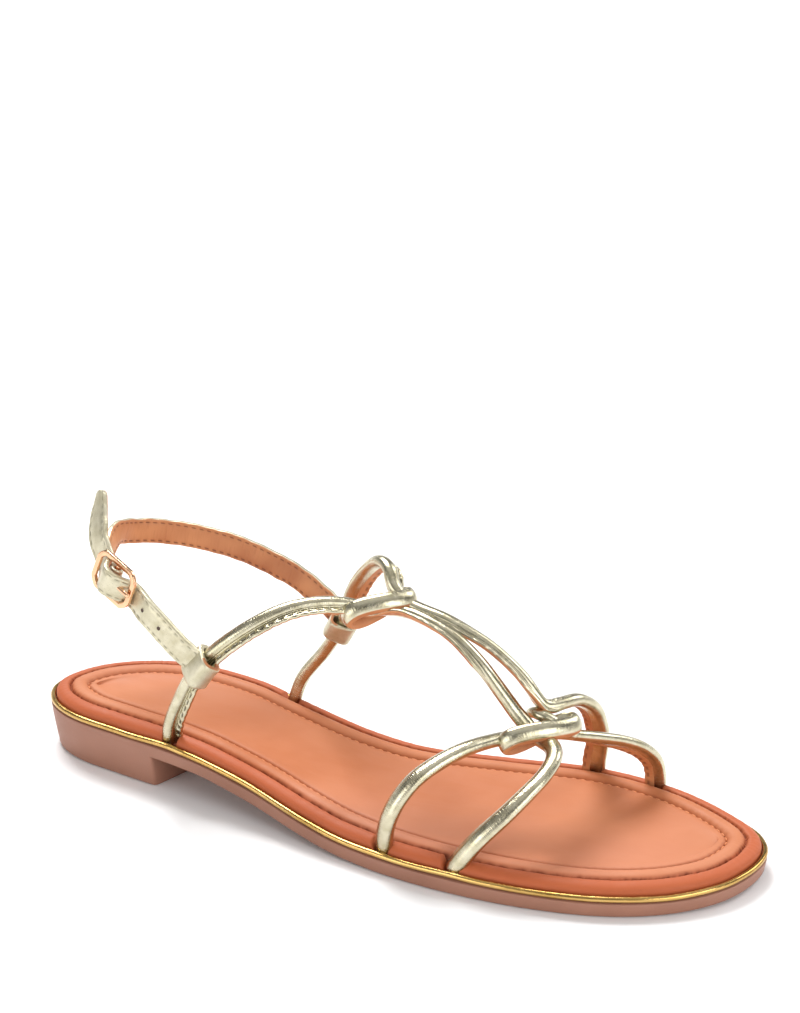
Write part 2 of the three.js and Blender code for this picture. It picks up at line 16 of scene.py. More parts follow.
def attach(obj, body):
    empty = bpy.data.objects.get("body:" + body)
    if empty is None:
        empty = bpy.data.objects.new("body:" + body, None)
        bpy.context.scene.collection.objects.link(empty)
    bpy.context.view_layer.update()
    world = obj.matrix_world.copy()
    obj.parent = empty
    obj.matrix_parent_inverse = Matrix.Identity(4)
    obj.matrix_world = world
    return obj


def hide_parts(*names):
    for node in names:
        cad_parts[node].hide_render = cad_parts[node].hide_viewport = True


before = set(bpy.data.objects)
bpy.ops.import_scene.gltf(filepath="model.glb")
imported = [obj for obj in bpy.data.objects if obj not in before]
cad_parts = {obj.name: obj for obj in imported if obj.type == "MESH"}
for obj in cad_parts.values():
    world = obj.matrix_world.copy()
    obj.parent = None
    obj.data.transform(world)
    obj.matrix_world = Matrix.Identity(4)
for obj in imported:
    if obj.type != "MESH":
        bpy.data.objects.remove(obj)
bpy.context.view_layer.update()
MM = 0.001
print("nodes", sorted(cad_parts))

# %% [markdown]
# The sole's outline and side view are short tables, because a shoe's last has no simple formula. They
# were fitted to the photograph, as shares of the length, the ball width and the heel rise. A smooth curve
# joins their rows.

# %% Sizes of the sole
shoe_length = 250.0
ball_width = 82.4
heel_rise = 15.5
instep_height = 70.0
rim_width = 1.6
border_width = 12.7
pad_height = 5.7
gap = 0.3

# along, inner half-width, outer half-width
outline_rows = np.array([
    [0.011, -0.015, 0.015],
    [0.03, 0.15, 0.142],
    [0.074, 0.28, 0.23],
    [0.146, 0.369, 0.282],
    [0.25, 0.359, 0.339],
    [0.371, 0.296, 0.415],
    [0.5, 0.284, 0.53],
    [0.629, 0.347, 0.595],
    [0.75, 0.409, 0.591],
    [0.854, 0.368, 0.524],
    [0.933, 0.258, 0.393],
    [0.983, 0.133, 0.218],
    [1, 0, 0],
])
# along, top of the sole, underside of the sole
profile_rows = np.array([
    [0, 1, 0.71],
    [0.1, 1, 0.71],
    [0.2, 1.005, 0.71],
    [0.27, 0.96, 0.67],
    [0.34, 0.8, 0.5],
    [0.45, 0.47, 0.16],
    [0.52, 0.34, 0.03],
    [0.57, 0.316, 0],
    [0.7, 0.31, 0],
    [0.86, 0.297, 0],
    [0.93, 0.305, 0.02],
    [1, 0.365, 0.085],
])


def catmull(points, closed=False, per_piece=24):
    """A smooth centripetal curve through points, as many small steps."""
    points = np.asarray(points, float)
    if closed:
        padded = np.vstack([points[-1:], points, points[:2]])
    else:
        padded = np.vstack([2 * points[0] - points[1], points, 2 * points[-1] - points[-2]])
    t = np.linspace(0, 1, per_piece, endpoint=False)[:, None]
    pieces = []
    for a, b, c, d in zip(padded[:-3], padded[1:-2], padded[2:-1], padded[3:]):
        da, db, dc = (max(np.linalg.norm(q - p), 1e-6) ** 0.5 for p, q in ((a, b), (b, c), (c, d)))
        m1 = ((b - a) / da - (c - a) / (da + db) + (c - b) / db) * db
        m2 = ((c - b) / db - (d - b) / (db + dc) + (d - c) / dc) * db
        blend = 3 * t**2 - 2 * t**3
        pieces.append((1 - blend) * b + (t**3 - 2 * t**2 + t) * m1 + blend * c + (t**3 - t**2) * m2)
    if not closed:
        pieces.append(points[-1:])
    return np.vstack(pieces)


def steps_of(line):
    """The distances between neighbouring points of a line."""
    return np.linalg.norm(np.diff(line, axis=0), axis=1)


def circle(count):
    """Angles at even steps round a circle."""
    return np.linspace(0, 2 * math.pi, count, endpoint=False)


def even(points, count, closed=False):
    """The same curve as count points at even distances."""
    line = np.vstack([points, points[:1]]) if closed else points
    steps = np.concatenate([[0], np.cumsum(steps_of(line))])
    places = np.linspace(0, steps[-1], count, endpoint=not closed)
    return np.column_stack([np.interp(places, steps, line[:, i]) for i in range(line.shape[1])])


def smooth_column(rows, column, along):
    """A column of a table at any place along, level wherever two rows are equal."""
    x, y = rows[:, 0], rows[:, column]
    rise = np.diff(y) / np.diff(x)
    same = rise[:-1] * rise[1:] > 0
    slope = np.concatenate([[rise[0]], np.zeros(len(x) - 2), [rise[-1]]])
    slope[1:-1][same] = 2 * rise[:-1][same] * rise[1:][same] / (rise[:-1] + rise[1:])[same]
    along = np.clip(along, 0, 1)
    i = np.clip(np.searchsorted(x, along, side="right") - 1, 0, len(x) - 2)
    width = x[i + 1] - x[i]
    t = (along - x[i]) / width
    return (
        (1 + 2 * t) * (1 - t) ** 2 * y[i]
        + t * (1 - t) ** 2 * width * slope[i]
        + t * t * (3 - 2 * t) * y[i + 1]
        + t * t * (t - 1) * width * slope[i + 1]
    )


def sole_top(x):
    return heel_rise * smooth_column(profile_rows, 1, x / shoe_length + 0.5)


def sole_under(x):
    return heel_rise * smooth_column(profile_rows, 2, x / shoe_length + 0.5)


outer_side = [((a - 0.5) * shoe_length, -o * ball_width) for a, _, o in outline_rows]
inner_side = [((a - 0.5) * shoe_length, i * ball_width) for a, i, _ in outline_rows[1:-1]]
outline_points = np.array(outer_side + inner_side[::-1])
fine_outline = catmull(outline_points, closed=True, per_piece=30)
shift = -(fine_outline.min(axis=0) + fine_outline.max(axis=0)) / 2
points_round = len(outline_points)
sole_count = points_round * 20
rim_count = points_round * 30
bed_count = points_round * 40
print("outline", points_round, "points, moved by", shift.round(3), "mm to put its middle over the origin")


def outline_ring(count, inset):
    """The outline moved inwards: count points in plan, from the heel along the outer side."""
    line = catmull(outline_points, closed=True, per_piece=count // points_round)
    tangent = np.roll(line, -1, axis=0) - np.roll(line, 1, axis=0)
    tangent /= np.linalg.norm(tangent, axis=1)[:, None]
    inward = np.column_stack([-tangent[:, 1], tangent[:, 0]])
    inset = np.asarray(inset, float)
    return line + inward * (inset[:, None] if inset.ndim else inset)


def ring(count, inset, height):
    """A ring in space, its height a function of x."""
    plan = outline_ring(count, inset)
    return np.column_stack([plan, height(plan[:, 0])])


# %% [markdown]
# Most pieces here are lofts: rows of points joined by quads. A helper turns a grid of points into a mesh,
# gives it a UV map in millimetres (along the piece, and round it) and a material per strip of faces, so
# that a lining and a face can share one mesh. Grain that must follow a strap uses that UV map.

# %% Mesh helpers
def to_frame(points):
    """Millimetres about the middle line of the foot, as metres in the shared frame."""
    moved = np.asarray(points, float) + [shift[0], shift[1], 0]
    return moved * MM


def mesh_piece(name, points, faces, materials, face_materials=None, uvs=None):
    mesh = bpy.data.meshes.new(name)
    mesh.from_pydata([tuple(p) for p in to_frame(points)], [], [tuple(f) for f in faces])
    for material in materials:
        mesh.materials.append(material)
    if face_materials is not None:
        mesh.polygons.foreach_set("material_index", np.asarray(face_materials, dtype=np.int32))
    mesh.polygons.foreach_set("use_smooth", np.full(len(faces), True))
    if uvs is not None:
        mesh.uv_layers.new(name="UVMap").data.foreach_set("uv", np.asarray(uvs, dtype=np.float32).ravel())
    mesh.validate()
    piece = bpy.data.objects.new(name, mesh)
    bpy.context.scene.collection.objects.link(piece)
    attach(piece, "root")
    return piece


def closed_piece(slot, *mesh_parts):
    """A closed mesh with all its faces turned outwards. slot is not used."""
    piece = mesh_piece(*mesh_parts)
    work = bmesh.new()
    work.from_mesh(piece.data)
    bmesh.ops.recalc_face_normals(work, faces=work.faces)
    work.to_mesh(piece.data)
    work.free()
    return piece


def point_values(piece, key, values):
    """A number for each point of a mesh, which a material can read by name."""
    layer = piece.data.attributes.new(key, "FLOAT", "POINT")
    layer.data.foreach_set("value", np.asarray(values, dtype=np.float32).ravel())


def grid_faces(rows, columns, closed_rows=False, closed_columns=False):
    """Quads of a grid of points, numbered row by row."""
    r = np.arange(rows if closed_rows else rows - 1)
    c = np.arange(columns if closed_columns else columns - 1)
    rr, cc = np.meshgrid(r, c, indexing="ij")
    r2, c2 = (rr + 1) % rows, (cc + 1) % columns
    corners = [rr * columns + cc, rr * columns + c2, r2 * columns + c2, r2 * columns + cc]
    return [tuple(face) for face in np.stack(corners, axis=-1).reshape(-1, 4)]


def grid_uvs(at, girth):
    """UVs of a grid's quads, from the distance along at each row line and round at each column line."""
    r, c = np.meshgrid(np.arange(len(at) - 1), np.arange(len(girth) - 1), indexing="ij")
    corners = [(at[r], girth[c]), (at[r], girth[c + 1]), (at[r + 1], girth[c + 1]), (at[r + 1], girth[c])]
    return np.stack([np.stack(corner, axis=-1) for corner in corners], axis=2).reshape(-1, 2)


def unit(vectors):
    return vectors / np.linalg.norm(vectors, axis=-1, keepdims=True)


def lid_between(ring_points, columns, sag):
    """Inner points of a lid: columns points for each pair across a ring, lowered by sag in the middle."""
    count = len(ring_points)
    half = count // 2
    outer = ring_points[1:half]
    inner = ring_points[count - 1:half:-1]
    t = (np.arange(columns) + 1) / (columns + 1)
    points = outer[:, None, :] * (1 - t)[None, :, None] + inner[:, None, :] * t[None, :, None]
    points[..., 2] -= sag * (1 - (2 * t - 1) ** 2)[None, :]
    return points


def lid_faces(ring_start, count, lid_start, columns, turned=False):
    """Quads that join a ring of count points to the inner points of its lid."""
    half = count // 2

    def index(row, column):
        if column == 0:
            return ring_start + row
        if column == columns + 1:
            return ring_start + (count - row) % count
        if row in (0, half):
            return ring_start + row
        return lid_start + (row - 1) * columns + column - 1

    faces = []
    for row in range(half):
        for column in range(columns + 1):
            steps = ((0, 0), (1, 0), (1, 1), (0, 1))
            unique = list(dict.fromkeys(index(row + r, column + c) for r, c in steps))
            if len(unique) > 2:
                faces.append(unique[::-1] if turned else unique)
    return faces


def outline_form(name, rings, materials, columns=10, sag=0.0, under_columns=4):
    """A closed form with the shoe's outline: rings from bottom to top, a lid above and one below."""
    count = len(rings[0])
    points = np.vstack(rings)
    faces = grid_faces(len(rings), count, closed_columns=True)
    top = lid_between(rings[-1], columns, sag)
    bottom = lid_between(rings[0], under_columns, 0)
    top_start = len(points)
    bottom_start = top_start + top.shape[0] * columns
    faces += lid_faces((len(rings) - 1) * count, count, top_start, columns)
    faces += lid_faces(0, count, bottom_start, under_columns, turned=True)
    points = np.vstack([points, top.reshape(-1, 3), bottom.reshape(-1, 3)])
    return mesh_piece(name, points, faces, materials)


# %% [markdown]
# Leather, moulded rubber and plated metal differ in how light leaves them, and in how fine their surface
# is. Each material below is one Principled shader whose colour, roughness and bump come from noise at the
# real scale of the grain. Noise reads object coordinates, in metres, or a strap's own UV map where it has
# to follow the strap.

# %% Material helpers
class Nodes:
    """A short way to write a node tree: each call adds a node and returns its output."""

    def __init__(self, name):
        self.material = bpy.data.materials.new(name)
        self.material.use_nodes = True
        self.tree = self.material.node_tree
        self.shader = self.tree.nodes["Principled BSDF"]

    def give(self, socket, value):
        """Sets a socket: a link where the value is a node's output, else a number, a vector or a colour."""
        if hasattr(value, "is_linked"):
            self.tree.links.new(value, socket)
        else:
            socket.default_value = (*value, 1) if socket.type == "RGBA" else value

    def add(self, kind, output, inputs=None, **settings):
        node = self.tree.nodes.new(kind)
        for key, value in settings.items():
            setattr(node, key, value)
        for key, value in (inputs or {}).items():
            self.give(node.inputs[key], value)
        return node.outputs[output]

    def place(self):
        return self.add("ShaderNodeTexCoord", "Object")

    def strap_place(self):
        return self.add("ShaderNodeUVMap", "UV", uv_map="UVMap")

    def scaled(self, vector, scale):
        return self.add("ShaderNodeMapping", "Vector", {"Vector": vector, "Scale": scale})

    def noise(self, vector, scale, detail=3.0, roughness=0.55, distortion=0.0):
        inputs = {"Vector": vector, "Scale": scale, "Detail": detail}
        inputs.update({"Roughness": roughness, "Distortion": distortion})
        return self.add("ShaderNodeTexNoise", "Fac", inputs)

    def ramp(self, value, stops):
        colour = self.add("ShaderNodeValToRGB", "Color", {"Fac": value})
        ramp = colour.node.color_ramp
        for element, (place, shade) in zip(ramp.elements, stops):
            element.position = place
            element.color = (*shade, 1)
        return colour

    def map(self, value, low, high, to_low, to_high):
        inputs = {"Value": value, "From Min": low, "From Max": high, "To Min": to_low, "To Max": to_high}
        return self.add("ShaderNodeMapRange", "Result", inputs)

    def mix(self, factor, a, b):
        return self.add("ShaderNodeMix", 2, {0: factor, 6: a, 7: b}, data_type="RGBA")

    def attribute(self, name):
        return self.add("ShaderNodeAttribute", "Fac", attribute_name=name)

    def bump(self, height, distance):
        """Bumps lie on top of the ones that were given before."""
        normal = self.shader.inputs["Normal"]
        inputs = {"Height": height, "Distance": distance}
        if normal.links:
            inputs["Normal"] = normal.links[0].from_socket
        self.give(normal, self.add("ShaderNodeBump", "Normal", inputs))

    def set(self, **sockets):
        for key, value in sockets.items():
            self.give(self.shader.inputs[key.replace("_", " ")], value)


def linear(red, green, blue):
    """A colour as seen on screen, 0 to 255, as the linear colour that a shader takes."""
    return tuple(((c / 255 + 0.055) / 1.055) ** 2.4 if c > 10 else c / 3294.6 for c in (red, green, blue))


# %% Gold leather of the straps
def gold_leather(name, shine=(0.13, 0.26), metal=1.0):
    n = Nodes(name)
    place = n.strap_place()
    wrinkle = n.noise(n.scaled(place, (2.6, 0.3, 1)), 1.0, 3.0, 0.6, 0.5)
    grain = n.noise(n.scaled(place, (3.5, 3.5, 3.5)), 1.0, 4.0)
    cloud = n.noise(n.scaled(place, (0.25, 0.25, 0.25)), 1.0, 2.0)
    colour = n.ramp(cloud, [(0.35, linear(190, 182, 153)), (0.65, linear(209, 202, 177))])
    colour = n.mix(n.map(grain, 0.6, 0.8, 0.0, 0.25), colour, linear(170, 150, 100))
    # Painted shade: the stitch holes along the seams, marked by the thread attribute, are darkened in the
    # colour.
    colour = n.mix(n.attribute("thread"), colour, linear(36, 26, 16))
    n.set(Base_Color=colour, Metallic=metal, Roughness=n.map(grain, 0.3, 0.7, *shine))
    n.bump(grain, 0.035 * MM)
    n.bump(wrinkle, 0.09 * MM)
    return n.material


# %% Tan lining leather
def tan_lining():
    n = Nodes("tan_lining")
    place = n.strap_place()
    wrinkle = n.noise(n.scaled(place, (1.2, 0.12, 1)), 1.0, 3.0, 0.5, 0.6)
    grain = n.noise(n.scaled(place, (4, 4, 4)), 1.0, 4.0)
    patches = n.noise(n.scaled(place, (0.05, 0.05, 1)), 1.0, 2.0)
    colour = n.ramp(patches, [(0.35, linear(176, 110, 69)), (0.65, linear(208, 144, 96))])
    colour = n.mix(n.map(wrinkle, 0.55, 0.75, 0.0, 0.3), colour, linear(160, 92, 58))
    # Painted shade: the stitch holes along the seams, marked by the thread attribute, are darkened in the
    # colour.
    colour = n.mix(n.attribute("thread"), colour, linear(92, 46, 30))
    n.set(Base_Color=colour, Roughness=n.map(grain, 0.3, 0.7, 0.42, 0.6), Specular_IOR_Level=0.4)
    n.bump(grain, 0.04 * MM)
    n.bump(wrinkle, 0.12 * MM)
    return n.material


# %% Footbed leather
def footbed_leather():
    n = Nodes("footbed_leather")
    place = n.place()
    pores = n.noise(place, 3200, 4.0, 0.6)
    patches = n.noise(place, 26, 3.0, 0.5, 0.3)
    streaks = n.noise(n.scaled(place, (60, 160, 160)), 1.0, 3.0, 0.6, 0.5)
    base = n.ramp(patches, [(0.32, linear(182, 107, 66)), (0.68, linear(197, 125, 86))])
    # Painted light: pinkish lighter patches at random, as soft light on the leather.
    painted_light_patches = n.noise(place, 9, 2.0)
    base = n.mix(n.map(painted_light_patches, 0.45, 0.65, 0.0, 0.6), base, linear(202, 133, 104))
    # Painted shade: the outer roll, which slopes down to the rim, is darker in the colour.
    edge = n.attribute("border")
    darker = n.mix(edge, base, linear(182, 94, 56))
    # Painted shade: the crease between the two rolls and the sewn channel are darkened in the colour.
    crease_shaded = n.mix(n.attribute("crease"), darker, linear(112, 44, 18))
    specks = n.mix(n.map(pores, 0.62, 0.75, 0.0, 0.22), crease_shaded, linear(190, 104, 70))
    n.set(Base_Color=specks, Roughness=n.map(streaks, 0.3, 0.7, 0.5, 0.64), Specular_IOR_Level=0.28)
    n.bump(pores, 0.035 * MM)
    n.bump(streaks, 0.09 * MM)
    return n.material


# %% Moulded sole, rim, buckle, thread, and the painted shade in the strap holes
def moulded_sole():
    n = Nodes("moulded_sole")
    place = n.place()
    grit = n.noise(place, 2600, 3.0, 0.6)
    cloud = n.noise(place, 30, 2.0)
    colour = n.ramp(cloud, [(0.35, linear(146, 100, 80)), (0.65, linear(157, 110, 90))])
    n.set(Base_Color=colour, Roughness=n.map(grit, 0.3, 0.7, 0.42, 0.56), Specular_IOR_Level=0.4)
    n.bump(grit, 0.03 * MM)
    return n.material


def rim_gold():
    n = Nodes("rim_gold")
    place = n.place()
    soft = n.noise(place, 300, 2.0)
    colour = n.ramp(n.noise(place, 60, 2.0), [(0.35, linear(186, 148, 82)), (0.65, linear(206, 170, 104))])
    n.set(Base_Color=colour, Metallic=1.0, Roughness=n.map(soft, 0.3, 0.7, 0.18, 0.28))
    n.bump(soft, 0.12 * MM)
    return n.material


def rose_gold():
    n = Nodes("rose_gold")
    place = n.place()
    soft = n.noise(place, 900, 3.0)
    colour = n.ramp(n.noise(place, 200, 2.0), [(0.3, linear(238, 184, 146)), (0.7, linear(246, 200, 160))])
    n.set(Base_Color=colour, Metallic=1.0, Roughness=n.map(soft, 0.3, 0.7, 0.1, 0.2))
    n.bump(soft, 0.03 * MM)
    return n.material


def thread(name, dark, light):
    n = Nodes(name)
    twist = n.noise(n.place(), 4000, 2.0)
    n.set(Base_Color=n.ramp(twist, [(0.3, dark), (0.7, light)]), Roughness=0.5, Metallic=0.0)
    n.bump(twist, 0.05 * MM)
    return n.material


gold = gold_leather("gold_leather")
flat_gold = gold_leather("flat_gold_leather", (0.26, 0.4), 0.72)
lining = tan_lining()
tan = footbed_leather()
sole_rubber = moulded_sole()
rim_metal = rim_gold()
buckle_metal = rose_gold()
tan_thread = thread("tan_thread", linear(214, 126, 74), linear(240, 166, 110))
# Painted shade: a dark material for the inside of the strap holes.
hole_dark = thread("hole_dark", linear(52, 34, 26), linear(84, 58, 42))
print("materials", len(bpy.data.materials))

# %% [markdown]
# The sole is one moulded unit. Its wall is a stack of rings that follow the outline, with a small round
# at the bottom edge, and the heel is a block of the same outline that ends at a slanted front face, the
# breast.

# %% Outsole
# inset, rise above the underside: the small round of the bottom edge
bottom_edge = [(1.3, 0.0), (0.85, 0.12), (0.62, 0.35), (0.52, 0.7)]


def make_outsole():
    rings = [ring(sole_count, inset, lambda x, r=rise: sole_under(x) + r) for inset, rise in bottom_edge]
    for share in (0.35, 0.7, 0.93, 1.0):
        inset = 0.52 * (1 - share) + (0.12 if share == 1.0 else 0)
        up = share * 0.86 + 0.14
        rings.append(ring(sole_count, inset, lambda x, up=up: sole_under(x) * (1 - up) + sole_top(x) * up))
    return outline_form("outsole_unit", rings, [sole_rubber], columns=4)


heel_breast_along = 0.208
heel_breast_turn = math.radians(19)
heel_taper = 1.9
heel_corner_rounds = 5
# rounding inwards, share of the height
heel_rows = [
    (0.65, 0.0),
    (0.3, 0.008),
    (0.1, 0.025),
    (0, 0.06),
    (0, 0.3),
    (0, 0.6),
    (0, 0.85),
    (0, 0.97),
    (0, 1.0),
]


def heel_loop(inset):
    """The heel's plan: the outline behind the breast line, closed by that line, its corners rounded."""
    plan = outline_ring(bed_count, inset)
    outside = outline_ring(bed_count, 0)
    lateral = outside[outside[:, 1] < 0]
    corner = lateral[np.argmin(abs(lateral[:, 0] - (heel_breast_along - 0.5) * shoe_length))]
    normal = np.array([math.cos(heel_breast_turn), -math.sin(heel_breast_turn)])
    behind = (plan - corner) @ normal < 0
    start = np.argmax(~behind)
    rolled = np.roll(plan, -start, axis=0)
    kept = rolled[np.roll(behind, -start)]
    dense = even(kept, 360, closed=True)
    for _ in range(heel_corner_rounds):
        dense = 0.5 * dense + 0.25 * (np.roll(dense, 1, axis=0) + np.roll(dense, -1, axis=0))
    return dense


def make_heel():
    rings = []
    for round_in, share in heel_rows:
        inset = 0.22 + (heel_taper + 0.25) * (1 - share) ** 1.15 + round_in
        loop = heel_loop(inset)
        under, top = sole_under(loop[:, 0]), sole_top(loop[:, 0])
        rings.append(np.column_stack([loop, (under + (top - under) * 0.6) * share]))
    rings.append(rings[-1] + [0, 0, 0.02])
    rings.append(np.column_stack([heel_loop(1.0), rings[-1][:, 2] + 0.02]))
    count = len(rings[0])
    faces = grid_faces(len(rings), count, closed_columns=True)
    faces.append(tuple(range(count))[::-1])
    faces.append(tuple((len(rings) - 1) * count + i for i in range(count)))
    return closed_piece("outsole", "heel_block", np.vstack(rings), faces, [sole_rubber])


outsole = make_outsole()
heel = make_heel()
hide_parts("outsole")
print("outsole", len(outsole.data.polygons), "heel", len(heel.data.polygons), "faces")

# %% [markdown]
# Each strap is a round bead with a flat stitched flange beside it, cut from gold leather over a tan
# lining. Its route is a list of points that were picked in the photograph, each with a guessed depth, and
# then turned into shares of the shoe's sizes. At each step along the curve through them a section is
# laid: across, and out.

# %% Routes of the straps
bead_width = 4.3
bead_height = 3.7
flange_width = 2.4
foot_inset = rim_width + gap + bead_height / 2 + 0.3
foot_rise = 1.2
strap_feet = []


def placed(rows):
    """Rows of along, across and up, as millimetres."""
    rows = np.asarray(rows, float)
    return (rows - [0.5, 0, 0]) * [shoe_length, ball_width, instep_height]


def strap_foot(along, side):
    """Where a strap goes down inside the rim, at a share of the length."""
    plan = outline_ring(sole_count, foot_inset)
    half = plan[plan[:, 1] * side > 0]
    half = half[np.argsort(half[:, 0])]
    x = (along - 0.5) * shoe_length
    return np.array([x, np.interp(x, half[:, 0], half[:, 1]), sole_top(x) + gap + foot_rise])


def strap_route(start, rows, end):
    """A route from one foot to the other. Each foot is noted, for the notch that it stands in."""
    strap_feet.extend([start, end])
    return np.vstack([strap_foot(*start), placed(rows), strap_foot(*end)])


front_route = strap_route((0.564, -1), [
    [0.567, -0.536, 0.178],
    [0.576, -0.546, 0.298],
    [0.588, -0.526, 0.39],
    [0.604, -0.479, 0.466],
    [0.639, -0.334, 0.533],
    [0.677, -0.17, 0.535],
    [0.702, -0.109, 0.53],
    [0.727, -0.049, 0.53],
    [0.749, 0.036, 0.485],
    [0.77, 0.109, 0.446],
    [0.791, 0.188, 0.399],
    [0.809, 0.261, 0.337],
    [0.82, 0.318, 0.257],
    [0.823, 0.338, 0.18],
], (0.824, 1))
outer_route = strap_route((0.234, -1), [
    [0.238, -0.3, 0.332],
    [0.254, -0.328, 0.468],
    [0.289, -0.352, 0.695],
    [0.331, -0.328, 0.849],
    [0.384, -0.243, 0.974],
    [0.418, -0.176, 1.003],
    [0.452, -0.11, 0.995],
    [0.483, -0.061, 0.965],
    [0.522, -0.049, 0.972],
    [0.559, -0.067, 0.955],
    [0.596, -0.085, 0.91],
    [0.633, -0.097, 0.821],
    [0.662, -0.103, 0.713],
    [0.688, -0.109, 0.611],
    [0.712, -0.121, 0.54],
    [0.736, -0.164, 0.53],
    [0.748, -0.243, 0.525],
    [0.746, -0.322, 0.49],
    [0.735, -0.407, 0.443],
    [0.715, -0.485, 0.363],
    [0.69, -0.538, 0.264],
    [0.672, -0.547, 0.172],
], (0.659, -1))
inner_route = strap_route((0.322, 1), [
    [0.334, 0.283, 0.35],
    [0.366, 0.293, 0.513],
    [0.392, 0.279, 0.668],
    [0.427, 0.218, 0.938],
    [0.449, 0.182, 1.044],
    [0.472, 0.127, 1.112],
    [0.492, 0.073, 1.105],
    [0.504, 0.03, 1.04],
    [0.522, 0.006, 0.995],
    [0.578, -0.006, 0.948],
    [0.614, -0.012, 0.897],
    [0.645, -0.018, 0.838],
    [0.674, -0.024, 0.764],
    [0.696, -0.03, 0.688],
    [0.71, -0.006, 0.625],
    [0.722, 0.049, 0.617],
    [0.734, 0.121, 0.607],
    [0.745, 0.206, 0.536],
    [0.747, 0.28, 0.421],
    [0.745, 0.334, 0.3],
    [0.74, 0.35, 0.19],
], (0.738, 1))


def away_from_foot(points):
    """Out from the middle of the foot, across its length."""
    return (points + [0, 0.08 * ball_width, -0.2 * instep_height]) * [0, 1, 1]


def away_from_ankle(points):
    """Out from the heel and ankle, level."""
    x = np.clip(points[:, 0], -0.34 * shoe_length, -0.1 * shoe_length)
    return np.column_stack([points[:, 0] - x, points[:, 1], np.zeros(len(points))])


def stations(route, outward, step=0.45, smooth_route=True):
    """Even steps along a route: point, direction along, out and across, and the distance so far."""
    line = catmull(route) if smooth_route else route
    length = steps_of(line).sum()
    points = even(line, int(length / step) + 1)
    for _ in range(6):
        points[1:-1] = 0.5 * points[1:-1] + 0.25 * (points[:-2] + points[2:])
    along = unit(np.gradient(points, axis=0))
    out = outward(points)
    out = unit(out - (out * along).sum(axis=1)[:, None] * along)
    at = np.linspace(0, length, len(points))
    return {"point": points, "along": along, "out": out, "across": np.cross(along, out), "at": at}


front = stations(front_route, away_from_foot)
outer = stations(outer_route, away_from_foot)
inner = stations(inner_route, away_from_foot)
print("strap lengths", [round(s["at"][-1]) for s in (front, outer, inner)])

# %% [markdown]
# A sewn seam is a row of short dips with the thread lying in them. The section's points that lie on the
# seam are pressed down at each stitch, and the flange's edge swells a little between them, as leather
# does beside thread. No thread is built here: each stitch is painted dark in the colour instead, as
# painted shade in its hole.

# %% Piped strap
stitch_pitch = 3.3
# out from the bead's side, up from its underside: the flange, from below it round its edge to its top
flange_rows = np.array([
    [-0.9, 0.05],
    [-0.2, 0.0],
    [0.5, 0.0],
    [0.95, 0.0],
    [1.35, 0.0],
    [1.9, 0.04],
    [2.25, 0.2],
    [2.4, 0.6],
    [2.35, 1.1],
    [2.1, 1.36],
    [1.75, 1.45],
    [1.45, 1.48],
    [1.2, 1.5],
    [0.95, 1.5],
    [0.6, 1.47],
    [0.15, 1.42],
    [-0.12, 1.35],
])


def hump(distance, width):
    return np.exp(-((distance / width) ** 2))


def along_noise(at, scale, seed):
    """Smooth noise along a strap, one number for each station."""
    return np.array([noise.noise(Vector((s * scale, seed, 0.0))) for s in np.ravel(at)])[:, None]


def piped_sections(at, left, width, turn, plump, seed):
    """Sections of a bead and its flange, from the flange's side, width and turn and the bead's growth."""
    right = 1 - left
    phase = (at / stitch_pitch) % 1.0
    dash = np.clip((0.3 - abs(phase - 0.5)) / 0.06, 0, 1)
    ragged = 0.1 * np.cos(2 * math.pi * phase) + 0.3 * along_noise(at, 0.5, seed)
    base = -bead_height / 2 * (1 + (plump - 1) * 0.6)
    flange_count = len(flange_rows)
    right_block = slice(2, 2 + flange_count)
    left_block = slice(33, 33 + flange_count)
    side_angles = np.linspace(-66, -12, flange_count)
    angles = np.concatenate([[-90, -78], side_angles, np.linspace(0, 180, 14), side_angles + 258, [258]])
    angles = np.radians(angles)
    half_width = bead_width / 2 * plump
    half_height = bead_height / 2 * (1 + (plump - 1) * 0.6)
    across = half_width * np.cos(angles)[None, :]
    out = half_height * np.sin(angles)[None, :]
    thread = np.zeros_like(across)
    place, rise = flange_rows[None, :, 0], flange_rows[None, :, 1]
    reach = (place + ragged * np.clip((place - 1.6) / 0.8, 0, 1)) * np.where(place > 0, width, 1)
    height = rise - 0.45 * dash * hump(place - 1.2, 0.35) * (rise > 1)
    height = height + 0.25 * dash * hump(place - 0.95, 0.5) * (rise < 0.1)
    # Painted shade: the stitch holes along the flange's seam, marked here for the materials to darken.
    stitch_shade = dash * hump(place - 1.15, 0.26) * np.clip(width * 2 - 0.8, 0, 1)
    shown = np.clip(width * 3, 0, 1)
    on_right = (right_block, right * shown, 1, slice(None))
    on_left = (left_block, left * shown, -1, slice(None, None, -1))
    for block, weight, side, order in (on_right, on_left):
        flange_across = side * (half_width + reach[:, order])
        across[:, block] = across[:, block] * (1 - weight) + flange_across * weight
        out[:, block] = out[:, block] * (1 - weight) + (base + height[:, order]) * weight
        thread[:, block] = stitch_shade[:, order] * weight
    swell = 1 + 0.03 * along_noise(at, 0.06, seed + 7.0)
    turned_across = across * np.cos(turn) + out * np.sin(turn)
    turned_out = out * np.cos(turn) - across * np.sin(turn)
    middle = (left - right) * flange_width * np.clip(width, 0.1, 1) / 2
    shape = np.stack([turned_across * swell + middle, turned_out * swell], axis=-1)
    under = 7
    lining_faces = np.zeros(across.shape, int)
    lining_faces[:, 2:2 + under] = (right > 0.5) & (width > 0.3)
    lining_faces[:, 49 - under:49] = (left > 0.5) & (width > 0.3)
    return shape, lining_faces[:-1], thread


